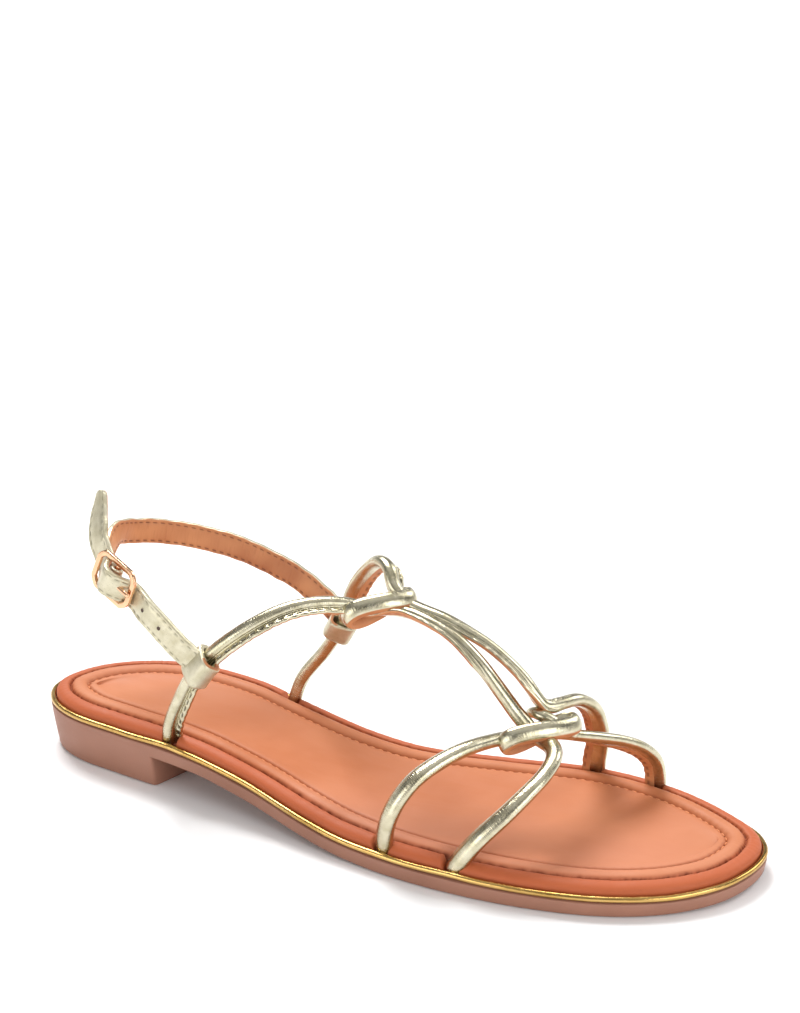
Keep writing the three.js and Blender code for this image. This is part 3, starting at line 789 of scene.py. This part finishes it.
def sweep_rows(slot, name, course, profiles, face_lining, materials, closed=False):
    """A mesh from a section at every station. profiles has a row of (across, out) points for each station."""
    rows, count = profiles.shape[:2]
    across, out = course["across"][:, None, :], course["out"][:, None, :]
    points = course["point"][:, None, :] + across * profiles[..., 0:1] + out * profiles[..., 1:2]
    faces = grid_faces(rows, count, closed_rows=closed, closed_columns=True)
    bands = rows if closed else rows - 1
    ring_points = np.vstack([profiles[0], profiles[0, :1]])
    girth = np.concatenate([[0], np.cumsum(steps_of(ring_points))])
    at = course["at"]
    at = np.append(at, 2 * at[-1] - at[-2])[:bands + 1]
    uvs = grid_uvs(at, girth)
    material_of = np.broadcast_to(face_lining, (bands, count)).ravel()
    if not closed:
        faces += [tuple(range(count))[::-1], tuple((rows - 1) * count + i for i in range(count))]
        uvs = np.vstack([uvs, np.zeros((2 * count, 2))])
        material_of = np.append(material_of, [1, 1])
    return closed_piece(slot, name, points.reshape(-1, 3), faces, materials, material_of, uvs)


def eased(at, rows, column):
    """One column of a strap's flange table at every station, with its steps rounded over about 6 mm."""
    rows = np.array(rows, float)
    values = np.interp(at / at[-1], rows[:, 0], rows[:, column])
    return np.convolve(np.pad(values, 7, mode="edge"), np.ones(15) / 15, mode="valid")[:, None]


def piped_strap(name, course, rows, seed):
    at = course["at"]
    left, width, turn, plump = (eased(at, rows, column) for column in (1, 2, 3, 4))
    shape, lining_faces, stitch_shade = piped_sections(at[:, None], left, width, np.radians(turn), plump, seed)
    piece = sweep_rows("upper", name, course, shape, lining_faces, [gold, lining])
    point_values(piece, "thread", stitch_shade)
    return piece


# share of the length, flange on the left, its width, degrees turned, the bead's growth
front_flange = [
    (0, 1, 0.35, -30, 1.5),
    (0.3, 1, 0.35, -40, 1.4),
    (0.5, 1, 0.4, -20, 1.25),
    (0.62, 1, 1, 0, 1.05),
    (1, 1, 1, 0, 1.0),
]
outer_flange = [
    (0, 0, 1, 0, 1),
    (0.41, 0, 1, 0, 1.05),
    (0.46, 0, 1, -38, 1.1),
    (0.55, 0, 0.9, -34, 1.15),
    (0.61, 0, 0.1, -20, 1.25),
    (0.76, 0, 0.1, 20, 1.25),
    (0.8, 0, 0.35, 35, 1.35),
    (1, 0, 0.45, 30, 1.45),
]
inner_flange = [
    (0, 1, 0.05, 0, 1.05),
    (0.19, 1, 0.05, 0, 1.05),
    (0.24, 1, 0.9, 0, 1.1),
    (0.43, 1, 0.9, 0, 1.1),
    (0.46, 0, 0.3, 0, 1.15),
    (0.56, 0, 0.3, -20, 1.2),
    (0.6, 0, 0.95, -30, 1.15),
    (0.7, 0, 0.95, -28, 1.15),
    (0.73, 0, 0.4, 0, 1.2),
    (0.75, 1, 0.4, 0, 1.2),
    (0.8, 1, 0.8, 0, 1.2),
    (1, 1, 0.8, 0, 1.3),
]
front_strap = piped_strap("front_strap", front, front_flange, 1.0)
outer_strap = piped_strap("outer_ankle_strap", outer, outer_flange, 2.0)
inner_strap = piped_strap("inner_ankle_strap", inner, inner_flange, 3.0)
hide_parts("upper")
print("straps", [len(o.data.polygons) for o in (front_strap, outer_strap, inner_strap)])

# %% [markdown]
# Each knot is held by one band that wraps across the straps. It is a closed oval that passes over them
# and back under them, wider and softer than the beads, with the tan lining showing on its inner side.

# %% Knots
lower_knot = placed([[0.682, -0.212, 0.529], [0.748, -0.006, 0.571]])
upper_knot = placed([[0.46, -0.127, 0.947], [0.52, 0.04, 1.01]])
knot_lean = math.radians(52)


def knot_band(name, ends, half_depth=4.2, width=6.2, thickness=4.1):
    centre = ends.mean(axis=0)
    half_length = np.linalg.norm(ends[1] - ends[0]) / 2
    long = unit(ends[1] - ends[0])
    out = away_from_foot(centre)
    out = unit(out - (out @ long) * long)
    out = out * math.cos(knot_lean) + np.cross(long, out) * math.sin(knot_lean)
    angle = circle(150)[:, None]
    cos, sin = np.cos(angle), np.sin(angle)
    ripple = 0.12 * np.sin(5 * angle + 1.0)
    points = centre + long * (half_length * cos) + out * ((half_depth + ripple) * sin)
    points = points + np.cross(long, out) * (0.9 * np.sin(2 * angle))
    along = unit(np.roll(points, -1, axis=0) - np.roll(points, 1, axis=0))
    facing = unit(long * (half_depth * cos) + out * (half_length * sin))
    facing = unit(facing - (facing * along).sum(axis=1)[:, None] * along)
    course = {"point": points, "out": facing, "across": np.cross(along, facing)}
    course["at"] = np.linspace(0, 4.4 * half_length, len(points))
    turn = circle(26)
    rise = thickness / 2 * np.sin(turn) * np.where(np.sin(turn) < 0, 0.55, 1)
    shape = np.repeat(np.column_stack([width / 2 * np.cos(turn), rise])[None], len(points), axis=0)
    tan_side = (np.sin(turn + 1.3) < -0.35).astype(int)
    return sweep_rows("upper", name, course, shape, tan_side, [gold, lining], closed=True)


# along, inwards and up from the lower knot's centre: the strand that crosses in it, under its band
crossing_offsets = np.array([
    [9.0, 7.5, -2.5],
    [6.0, 5.5, 0.0],
    [2.5, 4.5, 2.5],
    [-1.0, 4.0, 4.0],
    [-3.5, 5.0, 4.0],
    [-5.0, 6.5, 3.0],
])
crossing = stations(lower_knot.mean(axis=0) + crossing_offsets, away_from_foot)
crossing_flange = [(0, 1, 0.05, 0, 0.95), (1, 1, 0.05, 0, 0.95)]
crossing_strand = piped_strap("crossing_strand", crossing, crossing_flange, 5.0)
for cap in crossing_strand.data.polygons[-2:]:
    cap.material_index = 0
knot_band("lower_knot_band", lower_knot)
knot_band("upper_knot_band", upper_knot)

# %% [markdown]
# The footbed is a padded board under tan leather. Its border is a double roll: a low outer roll at the
# rim, a crease, a higher roll, and then the channel where the leather is sewn down. Rings close together
# carry that section, and noise along the outline makes the crease and the puckers at the thread uneven,
# as sewn leather is.

# %% Footbed section
# inward share of the border, rise share of the pad
border_rows = np.array([
    [0.155, 0.05],
    [0.152, 0.2],
    [0.15, 0.35],
    [0.157, 0.5],
    [0.19, 0.66],
    [0.26, 0.79],
    [0.35, 0.865],
    [0.44, 0.88],
    [0.5, 0.83],
    [0.53, 0.79],
    [0.56, 0.83],
    [0.64, 0.94],
    [0.74, 1.0],
    [0.84, 0.985],
    [0.92, 0.9],
    [0.965, 0.8],
    [1.0, 0.7],
    [1.035, 0.78],
    [1.08, 0.84],
    [1.2, 0.86],
])
border_line = catmull(border_rows, per_piece=4)
bed_sink = 0.9
stitch_spacing = 2.9
notch_half = 2.7


def wander_along(count, scale, seed, octaves=2):
    """Smooth noise along the outline, one number for each point, that closes on itself."""
    angle = circle(count)
    values = np.zeros(count)
    for octave in range(octaves):
        reach = scale * 2**octave
        level = seed + octave * 9.1
        places = [Vector((math.cos(a) * reach, math.sin(a) * reach, level)) for a in angle]
        values += [noise.noise(place) / 2**octave for place in places]
    return values


def make_footbed():
    outline_length = steps_of(outline_ring(bed_count, border_width)).sum()
    stitch_count = int(outline_length / stitch_spacing)
    walk = even_walk(bed_count, border_width)
    stitch_wave = np.cos(2 * math.pi * walk * stitch_count)
    crease_depth = 0.6 + 0.6 * np.clip(wander_along(bed_count, 6, 3.0) + 0.3, 0, 1.2)
    crease_shift = 0.35 * wander_along(bed_count, 10, 5.0)
    fine = wander_along(bed_count, 60, 8.0, 3)
    rings, crease_shade_values, outer_roll_shade_values = [], [], []
    for inward, rise in border_line:
        inset = inward * border_width
        near_crease = hump(inset - 0.53 * border_width - crease_shift, 0.5)
        near_channel = hump(inset - border_width, 0.7)
        height = rise * pad_height - near_crease * crease_depth + 0.2 * near_channel * stitch_wave
        on_roll = hump(inset - 0.45 * border_width, 3.5)
        height = height + 0.12 * fine * on_roll
        plan = outline_ring(bed_count, np.full(bed_count, inset))
        rings.append(np.column_stack([plan, sole_top(plan[:, 0]) + height]))
        # Painted shade: the crease and the channel are marked here, for the material to darken.
        crease_shade_values.append(np.clip(near_crease * (0.55 + 1.2 * fine), 0, 0.85) + 0.2 * near_channel)
        # Painted shade: the outer roll is marked here, fully near the rim and fading out across the crease.
        outer_roll_shade_values.append(np.full(bed_count, np.clip((0.66 - inset / border_width) / 0.25, 0, 1)))
    rings = notched(rings)
    bottom = ring(bed_count, rim_width + gap, lambda x: sole_top(x) + gap)
    bed = outline_form("footbed_pad", [bottom] + rings, [tan], columns=26, sag=bed_sink)
    for key, values, under in (("crease", crease_shade_values, 0), ("border", outer_roll_shade_values, 1)):
        flat = np.zeros(len(bed.data.vertices))
        flat[:bed_count] = under
        flat[bed_count:bed_count * (1 + len(rings))] = np.concatenate(values)
        point_values(bed, key, flat)
    return bed, stitch_count


def even_walk(count, inset):
    """How far round the outline each of its points lies, from 0 to 1."""
    plan = outline_ring(count, inset)
    steps = np.linalg.norm(np.roll(plan, -1, axis=0) - plan, axis=1)
    return np.concatenate([[0], np.cumsum(steps)[:-1]]) / steps.sum()


def notched(rings):
    """Presses the border down to the sole where a strap stands in it, with a steep side."""
    reach = foot_inset + bead_height / 2 + 0.95
    for along, side in strap_feet:
        foot = strap_foot(along, side)
        for points, (inward, _) in zip(rings, border_line):
            off = abs(points[:, 0] - foot[0]) / notch_half
            beside = (points[:, 1] * side > 0) & (inward * border_width < reach)
            pressed = np.clip((1.12 - off) / 0.26, 0, 1)
            pressed = pressed * pressed * (3 - 2 * pressed)
            depth = pressed * np.clip((reach - inward * border_width) / 0.7, 0, 1)
            floor = sole_top(points[:, 0]) + gap
            points[:, 2] = np.where(beside, points[:, 2] * (1 - depth) + floor * depth, points[:, 2])
    return rings


footbed, stitch_count = make_footbed()
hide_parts("footbed")
print("footbed", len(footbed.data.polygons), "faces,", stitch_count, "stitches")

# %% Footbed stitches
# share of a stitch's length, share of its thickness
stitch_ends = np.array([(-0.5, 0.35), (-0.38, 0.9), (0.0, 1.0), (0.38, 0.9), (0.5, 0.35)])
stitch_length = 1.9
stitch_radius = 0.24
stitch_sides = 6


def footbed_stitches(line, stitches):
    """Short capsules of thread along a closed line, one for each stitch."""
    length = steps_of(line).sum()
    at = np.linspace(0, length, len(line))
    along = unit(np.roll(line, -1, axis=0) - np.roll(line, 1, axis=0))
    across = unit(np.cross(along, [0, 0, 1]))
    shares = stitch_ends[:, 0]
    places = (np.arange(0, length, length / stitches)[:, None] + shares * stitch_length).ravel()
    middle = np.column_stack([np.interp(places, at, line[:, i]) for i in range(3)])
    side = np.column_stack([np.interp(places, at, across[:, i]) for i in range(3)])
    count = len(places) // len(shares)
    middle[:, 2] += np.tile(0.22 - 0.24 * abs(shares), count)
    angle = circle(stitch_sides)[None, :, None]
    offset = side[:, None] * np.cos(angle) + np.array([0, 0, 1]) * np.sin(angle)
    thick = np.tile(stitch_ends[:, 1], count)[:, None, None] * stitch_radius
    points = (middle[:, None] + offset * thick).reshape(-1, 3)
    step = len(shares) * stitch_sides
    quads = np.array(grid_faces(len(shares), stitch_sides, closed_columns=True))
    faces = []
    for first in range(0, len(points), step):
        faces += [tuple(quad) for quad in quads + first]
        faces.append(tuple(range(first, first + stitch_sides))[::-1])
        faces.append(tuple(range(first + step - stitch_sides, first + step)))
    return closed_piece("footbed", "footbed_stitches", points, faces, [tan_thread])


channel = ring(bed_count, border_width, lambda x: sole_top(x) + 0.7 * pad_height)
footbed_stitches(even(channel, 4 * stitch_count, closed=True), stitch_count)

# %% [markdown]
# The rim is a thin polished strip that is bent round the footbed and glued to the sole. It is half round
# outside, so it mirrors the room as two fine lines. It isn't quite straight: it lifts a little where a
# strap goes in.

# %% Rim
def make_rim():
    plan = outline_ring(rim_count, 0)
    lift = 0.18 * wander_along(rim_count, 5, 12.0)
    for foot in strap_feet:
        lift += 0.35 * hump(np.linalg.norm(plan - strap_foot(*foot)[:2], axis=1), 7.0)
    angles = np.radians(np.linspace(-70, 90, 10))
    round_side = [(0.75 - 0.85 * math.cos(a), 1.25 + 0.95 * math.sin(a)) for a in angles]
    flat_side = [(1.2, 2.2), (1.55, 2.05), (1.6, 1.2), (1.6, 0.35), (0.6, 0.35)]
    rings = []
    for inset, rise in round_side + flat_side:
        points = ring(rim_count, inset, sole_top)
        points[:, 2] += rise + lift
        rings.append(points)
    faces = grid_faces(len(rings), rim_count, closed_rows=True, closed_columns=True)
    return closed_piece("rim", "rim_band", np.vstack(rings), faces, [rim_metal])


rim = make_rim()
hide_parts("rim")

# %% [markdown]
# The slingback is two flat straps, each sewn along both edges: gold leather outside, tan lining inside.
# The outer one has holes and a free tip, and passes through the buckle. The other runs round the heel.

# %% Slingback routes
sling_width = 8.6
sling_thickness = 2.0
sling_pitch = 2.7
seam_inset = 1.1
tip_turn = 42
tip_width = 3.0
buckle_strap_route = placed([
    [0.29, -0.352, 0.705],
    [0.27, -0.37, 0.77],
    [0.251, -0.37, 0.826],
    [0.224, -0.358, 0.901],
    [0.197, -0.334, 0.956],
    [0.164, -0.297, 1.021],
    [0.138, -0.255, 1.074],
    [0.124, -0.212, 1.14],
    [0.115, -0.164, 1.217],
    [0.112, -0.127, 1.284],
    [0.11, -0.1, 1.345],
])
heel_strap_route = placed([
    [0.396, 0.285, 0.617],
    [0.38, 0.322, 0.695],
    [0.352, 0.352, 0.751],
    [0.313, 0.376, 0.819],
    [0.27, 0.388, 0.868],
    [0.227, 0.382, 0.914],
    [0.171, 0.358, 0.949],
    [0.124, 0.297, 0.978],
    [0.097, 0.206, 1.003],
    [0.094, 0.097, 1.037],
    [0.102, -0.012, 1.024],
    [0.119, -0.121, 0.992],
])


def flat_profile(width, thickness):
    """Across, out, and 1 on the lining: gold face and edge, tan back."""
    a, t = width / 2, thickness / 2
    half_face = [(-a, -0.1), (-a, t * 0.55), (-a + 0.2, t * 0.9), (-a + 0.5, t), (-a + 0.85, t * 0.97)]
    half_face += [(-a + 1.1, t * 0.95), (-a + 1.35, t * 0.97), (-a + 1.8, t * 1.04), (-a * 0.4, t * 1.08)]
    face = half_face + [(0, t * 1.1)] + [(-across, out) for across, out in reversed(half_face)]
    back = [(a, -t * 0.6), (a - 0.25, -t * 0.95), (a - 0.5, -t), (a - 1.1, -t * 0.96), (a - 1.4, -t)]
    back += [(a * 0.5, -t * 1.02), (0, -t * 1.02), (-a * 0.5, -t * 1.02), (-a + 1.4, -t)]
    back += [(-a + 1.1, -t * 0.96), (-a + 0.8, -t), (-a + 0.25, -t * 0.95)]
    edge = [(-a, -t * 0.6)]
    tan_side = [0] * len(face) + [1] * len(back) + [0]
    return np.column_stack([np.array(face + back + edge), tan_side])


def flat_strap(name, course, seed, tip=0.0, gold_start=0.0):
    profile = flat_profile(sling_width, sling_thickness)
    at = course["at"][:, None]
    left = at[-1] - at
    if tip:
        turn = np.radians(tip_turn * np.clip(1 - left / 24, 0, 1) ** 1.2)
        across = course["across"] * np.cos(turn) - course["out"] * np.sin(turn)
        out = course["out"] * np.cos(turn) + course["across"] * np.sin(turn)
        course = {**course, "across": across, "out": out}
    place, side = profile[None, :, 0], np.sign(profile[None, :, 0])
    shape = np.repeat(profile[None, :, :2], len(at), axis=0)
    phase = (at / sling_pitch) % 1.0
    dash = np.clip((0.3 - abs(phase - 0.5)) / 0.06, 0, 1)
    from_seam = abs(place) - (sling_width / 2 - seam_inset)
    shape[..., 1] -= (0.1 + 0.16 * dash) * hump(from_seam, 0.3) * np.sign(profile[None, :, 1])
    # Painted shade: the stitch holes along both seams, marked here for the materials to darken, most on the
    # lining.
    stitch_shade = dash * hump(from_seam, 0.2) * np.where(profile[None, :, 1] > 0, 0.55, 0.9)
    wander = np.where(place > 0, along_noise(at, 0.25, seed), along_noise(at, 0.25, seed + 5.0))
    shape[..., 0] += side * hump(abs(place) - sling_width / 2, 0.5) * 0.3 * wander
    if tip:
        narrow = np.clip(left / tip, 0, 1)
        end_round = np.sqrt(np.clip(1 - (1 - np.clip(left / 1.6, 0, 1)) ** 2, 0.04, 1))
        shape[..., 0] *= (narrow + (1 - narrow) * tip_width / sling_width) * end_round
    lining_faces = ((profile[None, :, 2] > 0) & (at[:-1] > gold_start)).astype(int)
    piece = sweep_rows("slingback", name, course, shape, lining_faces, [flat_gold, lining])
    point_values(piece, "thread", stitch_shade)
    return piece


# %% [markdown]
# The buckle sits on the strap, so its place and its turn are read from the strap's own course: a point,
# the way along it, the way across it and the way out of it.

# %% Buckle
buckle_along = 40.0
buckle_bar = 1.5
buckle_bar_face = 1.9
buckle_length = 17.0
buckle_turn = math.radians(9)
buckle_corner = 2.6
bar_wrap = 1.1
prong_width = 1.5
frame_out = 0.9
strap_dip = sling_thickness / 2 + gap + buckle_bar / 2 - frame_out
strap_rise = frame_out + buckle_bar / 2 + gap + prong_width + gap + sling_thickness / 2
plain_course = stations(buckle_strap_route, away_from_ankle)
here = np.argmin(abs(plain_course["at"] - buckle_along))
buckle_point, buckle_out = plain_course["point"][here], plain_course["out"][here]
straight, sideways = plain_course["along"][here], plain_course["across"][here]
buckle_way = straight * math.cos(buckle_turn) - sideways * math.sin(buckle_turn)
buckle_side = sideways * math.cos(buckle_turn) + straight * math.sin(buckle_turn)


def beside_buckle(along, across, out):
    return buckle_point + buckle_way * along + buckle_side * across + buckle_out * out


def buckle_weave(distance):
    """How far the strap leaves its own route: under the end bars, over the middle bar."""
    t = abs(distance - buckle_along) / buckle_length
    inside = (strap_rise - strap_dip) / 2 + (strap_rise + strap_dip) / 2 * np.cos(2 * math.pi * t)
    beyond = -strap_dip * (1 - np.cos(2 * math.pi * t)) / 2
    return np.where(t > 1, 0, np.where(t > 0.5, beyond, inside))


woven = plain_course["point"] + plain_course["out"] * buckle_weave(plain_course["at"])[:, None]
buckle_course = stations(woven, away_from_ankle, smooth_route=False)


def make_buckle_frame():
    along = buckle_length / 2
    across = sling_width / 2 + 2 * gap + buckle_bar / 2 + 0.4
    corners = [(-along, -across), (-along, across), (along, across), (along, -across)]
    loop = []
    for i, corner in enumerate(corners):
        before, corner, after = (np.array(corners[k % 4], float) for k in (i - 1, i, i + 1))
        start = corner + unit(before - corner) * buckle_corner
        end = corner + unit(after - corner) * buckle_corner
        pull = 0.35 * corner + 0.65 * (start + end) / 2
        for t in np.linspace(0, 1, 7):
            loop.append((1 - t) ** 2 * start + 2 * t * (1 - t) * pull + t * t * end)
        for t in (0.25, 0.5, 0.75):
            loop.append(end * (1 - t) + (after + unit(corner - after) * buckle_corner) * t)
    loop = np.array(loop)
    tangent = unit(np.roll(loop, -1, axis=0) - np.roll(loop, 1, axis=0))
    away = np.column_stack([-tangent[:, 1], tangent[:, 0]])
    away *= np.sign((away * loop).sum(axis=1))[:, None]
    points = np.array([beside_buckle(u, v, frame_out) for u, v in loop])
    course = {"point": points, "out": np.tile(buckle_out, (len(points), 1))}
    course["across"] = away[:, :1] * buckle_way + away[:, 1:] * buckle_side
    course["at"] = np.arange(len(points)) * 1.4
    wide, half, soft = buckle_bar_face / 2, buckle_bar / 2, 0.3
    profile = [(-wide, -half + soft), (-wide, half - soft), (-wide + soft, half), (wide - soft, half)]
    profile += [(wide, half - soft), (wide, -half + soft), (wide - soft, -half), (-wide + soft, -half)]
    shape = np.repeat(np.array(profile)[None], len(points), axis=0)
    all_metal = np.zeros(len(profile), int)
    piece = sweep_rows("buckle", "buckle_frame_bar", course, shape, all_metal, [buckle_metal], closed=True)
    bevel = piece.modifiers.new("soft edges", "BEVEL")
    bevel.width = 0.12 * MM
    bevel.segments = 2
    bevel.limit_method = "ANGLE"
    return piece


buckle_frame = make_buckle_frame()
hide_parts("buckle_frame")


def rod(name, start, end, radius=0.75, sides=14):
    """A straight rod with rounded ends."""
    length = np.linalg.norm(end - start)
    tip = np.linspace(0, radius, 6)
    t = np.concatenate([tip, np.linspace(radius, length - radius, 8)[1:], length - tip[-2::-1]])
    along = (end - start) / length
    out = unit(buckle_out - (buckle_out @ along) * along)
    course = {"point": start + t[:, None] * along, "at": t, "out": np.tile(out, (len(t), 1))}
    course["across"] = np.tile(np.cross(along, out), (len(t), 1))
    turn = circle(sides)
    near_end = np.clip(np.minimum(t, length - t) / radius, 0, 1)
    taper = radius * np.sqrt(np.clip(1 - (1 - near_end) ** 2, 0.03, 1))
    shape = taper[:, None, None] * np.column_stack([np.cos(turn), np.sin(turn)])[None]
    return sweep_rows("buckle", name, course, shape, np.zeros(sides, int), [buckle_metal, buckle_metal])


middle_reach = sling_width / 2 + 1.2
bar_ends = [beside_buckle(0, reach, frame_out) for reach in (-middle_reach, middle_reach)]
rod("buckle_middle_bar", *bar_ends)
rest = frame_out + buckle_bar / 2 + gap + prong_width / 2
prong_ends = [beside_buckle(1.6, 0, rest), beside_buckle(-0.58 * buckle_length, 0, rest - 0.1)]
prong = rod("buckle_prong_rod", *prong_ends)
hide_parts("buckle_prong")

# %% Buckle strap
buckle_strap = flat_strap("buckle_strap_band", buckle_course, 21.0, tip=12.0)
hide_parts("buckle_strap")
hole_step = 7.4
hole_sides = 20
# radius, rise above the strap's face: a lip that turns in to the hole
hole_rows = [(1.0, -0.1), (0.85, 0.08), (0.68, 0.1), (0.6, 0.05)]


def strap_hole(name, back):
    """A punched hole at a distance back from the buckle: a rounded lip round a dark disc of painted shade."""
    i = np.argmin(abs(plain_course["at"] - (buckle_along - back)))
    i = np.argmin(np.linalg.norm(buckle_course["point"] - woven[i], axis=1))
    middle, along, across, out = (buckle_course[key][i] for key in ("point", "along", "across", "out"))
    turn = circle(hole_sides)[:, None]
    around = np.cos(turn) * along + np.sin(turn) * across
    top = sling_thickness / 2 * 1.1
    points = np.vstack([middle + around * radius + out * (top + rise) for radius, rise in hole_rows])
    faces = grid_faces(len(hole_rows), hole_sides, closed_columns=True)
    faces.append(tuple(range(len(points) - hole_sides, len(points))))
    # Painted shade: the inside of the lip and a disc across it are dark, in place of a hole cut through.
    material_of = [0] * (2 * hole_sides) + [1] * (hole_sides + 1)
    return closed_piece("slingback", name, points, faces, [flat_gold, hole_dark], material_of)


for number in (1, 2, 3):
    strap_hole(f"strap_hole_{number}", hole_step * number)

# %% Heel strap
bar_place = beside_buckle(0, 0, frame_out - buckle_bar / 2 - gap - bar_wrap / 2)
heel_course = stations(np.vstack([heel_strap_route, bar_place]), away_from_ankle)
heel_strap = flat_strap("heel_strap_band", heel_course, 31.0, gold_start=8.0)
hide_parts("heel_strap")


def make_fold():
    """The heel strap's end, folded round the buckle's middle bar."""
    centre = beside_buckle(0, 0, frame_out)
    turn = circle(48)
    radius = buckle_bar / 2 + gap + bar_wrap / 2
    facing = np.cos(turn)[:, None] * buckle_way + np.sin(turn)[:, None] * buckle_out
    course = {"point": centre + radius * facing, "out": facing, "at": turn * radius}
    course["across"] = np.tile(buckle_side, (len(turn), 1))
    profile = flat_profile(sling_width, bar_wrap)
    shape = np.repeat(profile[None, :, :2], len(turn), axis=0)
    tan_side = profile[:, 2].astype(int)
    materials = [flat_gold, lining]
    return sweep_rows("slingback", "heel_strap_fold", course, shape, tan_side, materials, closed=True)


make_fold()

# %% Keeper loops
keeper_sides = 40
box_power = 3.2


def keeper_profile(grow):
    """A closed band round a piped strap: a rounded box that clears its bead and flange."""
    half = np.array([(bead_width + flange_width) / 2 + grow, bead_height / 2 + grow])
    turn = circle(keeper_sides)
    round_way = np.column_stack([np.cos(turn), np.sin(turn)])
    return np.sign(round_way) * abs(round_way) ** (2 / box_power) * half


def keeper(name, course, beside, length, wall):
    middle = course["at"][np.argmin(np.linalg.norm(course["point"] - beside, axis=1))]
    chosen = abs(course["at"] - middle) <= length / 2
    point, across, out = (course[key][chosen][:, None] for key in ("point", "across", "out"))
    at = course["at"][chosen]
    rows = len(at)
    outer_skin, inner_skin = (
        point + across * skin[None, :, :1] + out * skin[None, :, 1:]
        for skin in (keeper_profile(gap + wall), keeper_profile(gap))
    )
    soften = np.clip(np.minimum(np.arange(rows), np.arange(rows)[::-1]) / 2.0, 0, 1)[:, None, None]
    middle_skin = (outer_skin + inner_skin) / 2
    outer_skin = middle_skin + (outer_skin - middle_skin) * (0.62 + 0.38 * np.sqrt(soften))
    points = np.concatenate([outer_skin, inner_skin[::-1]])
    faces = grid_faces(2 * rows, keeper_sides, closed_rows=True, closed_columns=True)
    turn = np.arange(keeper_sides) / keeper_sides * 2 * math.pi
    cut_end = (np.arange(2 * rows) == rows - 1)[:, None] & (np.cos(turn) > 0.3)[None, :]
    material_of = cut_end.astype(int).ravel()
    at = np.concatenate([at, at[::-1] + 30])
    uvs = grid_uvs(np.append(at, at[-1] + 0.4), np.arange(keeper_sides + 1) * 0.85)
    points = points.reshape(-1, 3)
    return closed_piece("slingback", name, points, faces, [flat_gold, lining], material_of, uvs)


keeper("outer_keeper_loop", outer, buckle_strap_route[0], 10.8, 1.7)
keeper("inner_keeper_loop", inner, heel_strap_route[0] + [0, 0, 1.0], 7.4, 1.1)

# %% [markdown]
# The floor is a plain pale sheet. Polished metal only shows what stands round it, so the room is pale low
# down, which gives the gold its light stripes, and dark high up, which gives its dark lines. Four soft
# lamps light the leather.

# %% Floor and light
def plane(name, centre, facing, width, height):
    facing = Vector(facing).normalized()
    turn = facing.to_track_quat("Z", "Y").to_matrix().to_4x4()
    mesh = bpy.data.meshes.new(name)
    w, h = width / 2, height / 2
    corners = [(-w, -h, 0), (w, -h, 0), (w, h, 0), (-w, h, 0)]
    mesh.from_pydata(corners, [], [(0, 1, 2, 3)])
    sheet = bpy.data.objects.new(name, mesh)
    sheet.matrix_world = Matrix.Translation(Vector(centre)) @ turn
    bpy.context.scene.collection.objects.link(sheet)
    return sheet


floor = plane("floor", (0, 0, -0.0002), (0, 0, 1), 12, 12)
floor_paint = Nodes("floor_paint")
floor_paint.set(Base_Color=(0.93, 0.93, 0.935), Roughness=0.7, Specular_IOR_Level=0.1)
floor.data.materials.append(floor_paint.material)

world = bpy.data.worlds.new("studio")
world.use_nodes = True
world_tree = world.node_tree
direction = world_tree.nodes.new("ShaderNodeTexCoord")
height = world_tree.nodes.new("ShaderNodeSeparateXYZ")
room = world_tree.nodes.new("ShaderNodeValToRGB")
for place, grey in ((0.0, 0.85), (0.22, 0.9), (0.36, 0.6), (0.5, 0.05), (1.0, 0.02)):
    stop = room.color_ramp.elements.new(place)
    stop.color = (grey, grey, grey * 1.01, 1)
room.color_ramp.elements.remove(room.color_ramp.elements[-1])
room.color_ramp.elements.remove(room.color_ramp.elements[0])
world_tree.links.new(direction.outputs["Generated"], height.inputs["Vector"])
world_tree.links.new(height.outputs["Z"], room.inputs["Fac"])
world_tree.links.new(room.outputs["Color"], world_tree.nodes["Background"].inputs["Color"])
world_tree.nodes["Background"].inputs["Strength"].default_value = 0.8
bpy.context.scene.world = world


def lamp(name, place, target, size, power):
    data = bpy.data.lights.new(name, "AREA")
    data.shape = "RECTANGLE"
    data.size = size
    data.size_y = size
    data.energy = power
    lamp_object = bpy.data.objects.new(name, data)
    lamp_object.location = place
    lamp_object.rotation_euler = (Vector(target) - Vector(place)).to_track_quat("-Z", "Y").to_euler()
    bpy.context.scene.collection.objects.link(lamp_object)


lamp("key_lamp", (-1.6, 1.6, 3.4), (0, 0, 0.03), 1.8, 170)
lamp("fill_lamp", (3.2, -1.6, 1.6), (0, 0, 0.03), 2.4, 60)
lamp("back_lamp", (1.8, 2.6, 2.4), (0, 0, 0.05), 1.8, 45)
lamp("front_lamp", (-1.6, -3.2, 0.9), (0, 0, 0.05), 2.2, 34)

# %% [markdown]
# The camera stands where the photograph was taken from: to the front and outer side of the shoe, a little
# above. Its place, turn and lens are the result of a fit of the sole's outline to the photograph.

# %% Camera
camera_place = np.array([277.738, -661.432, 383.995])
camera_right = np.array([0.92175229, 0.38764643, 0.01014681])
camera_up = np.array([-0.15082244, 0.3342764, 0.93032891])
focal_pixels = 2496.37
picture_height = 1013
camera_data = bpy.data.cameras.new("camera")
camera_data.sensor_fit = "VERTICAL"
camera_data.sensor_height = 36.0
camera_data.lens = focal_pixels * camera_data.sensor_height / picture_height
camera = bpy.data.objects.new("camera", camera_data)
back = np.cross(camera_right, camera_up)
place = to_frame(camera_place[None])[0]
camera.matrix_world = Matrix([
    [camera_right[0], camera_up[0], back[0], place[0]],
    [camera_right[1], camera_up[1], back[1], place[1]],
    [camera_right[2], camera_up[2], back[2], place[2]],
    [0, 0, 0, 1],
])
bpy.context.scene.collection.objects.link(camera)
bpy.context.scene.camera = camera
bpy.context.scene.view_settings.view_transform = "Standard"
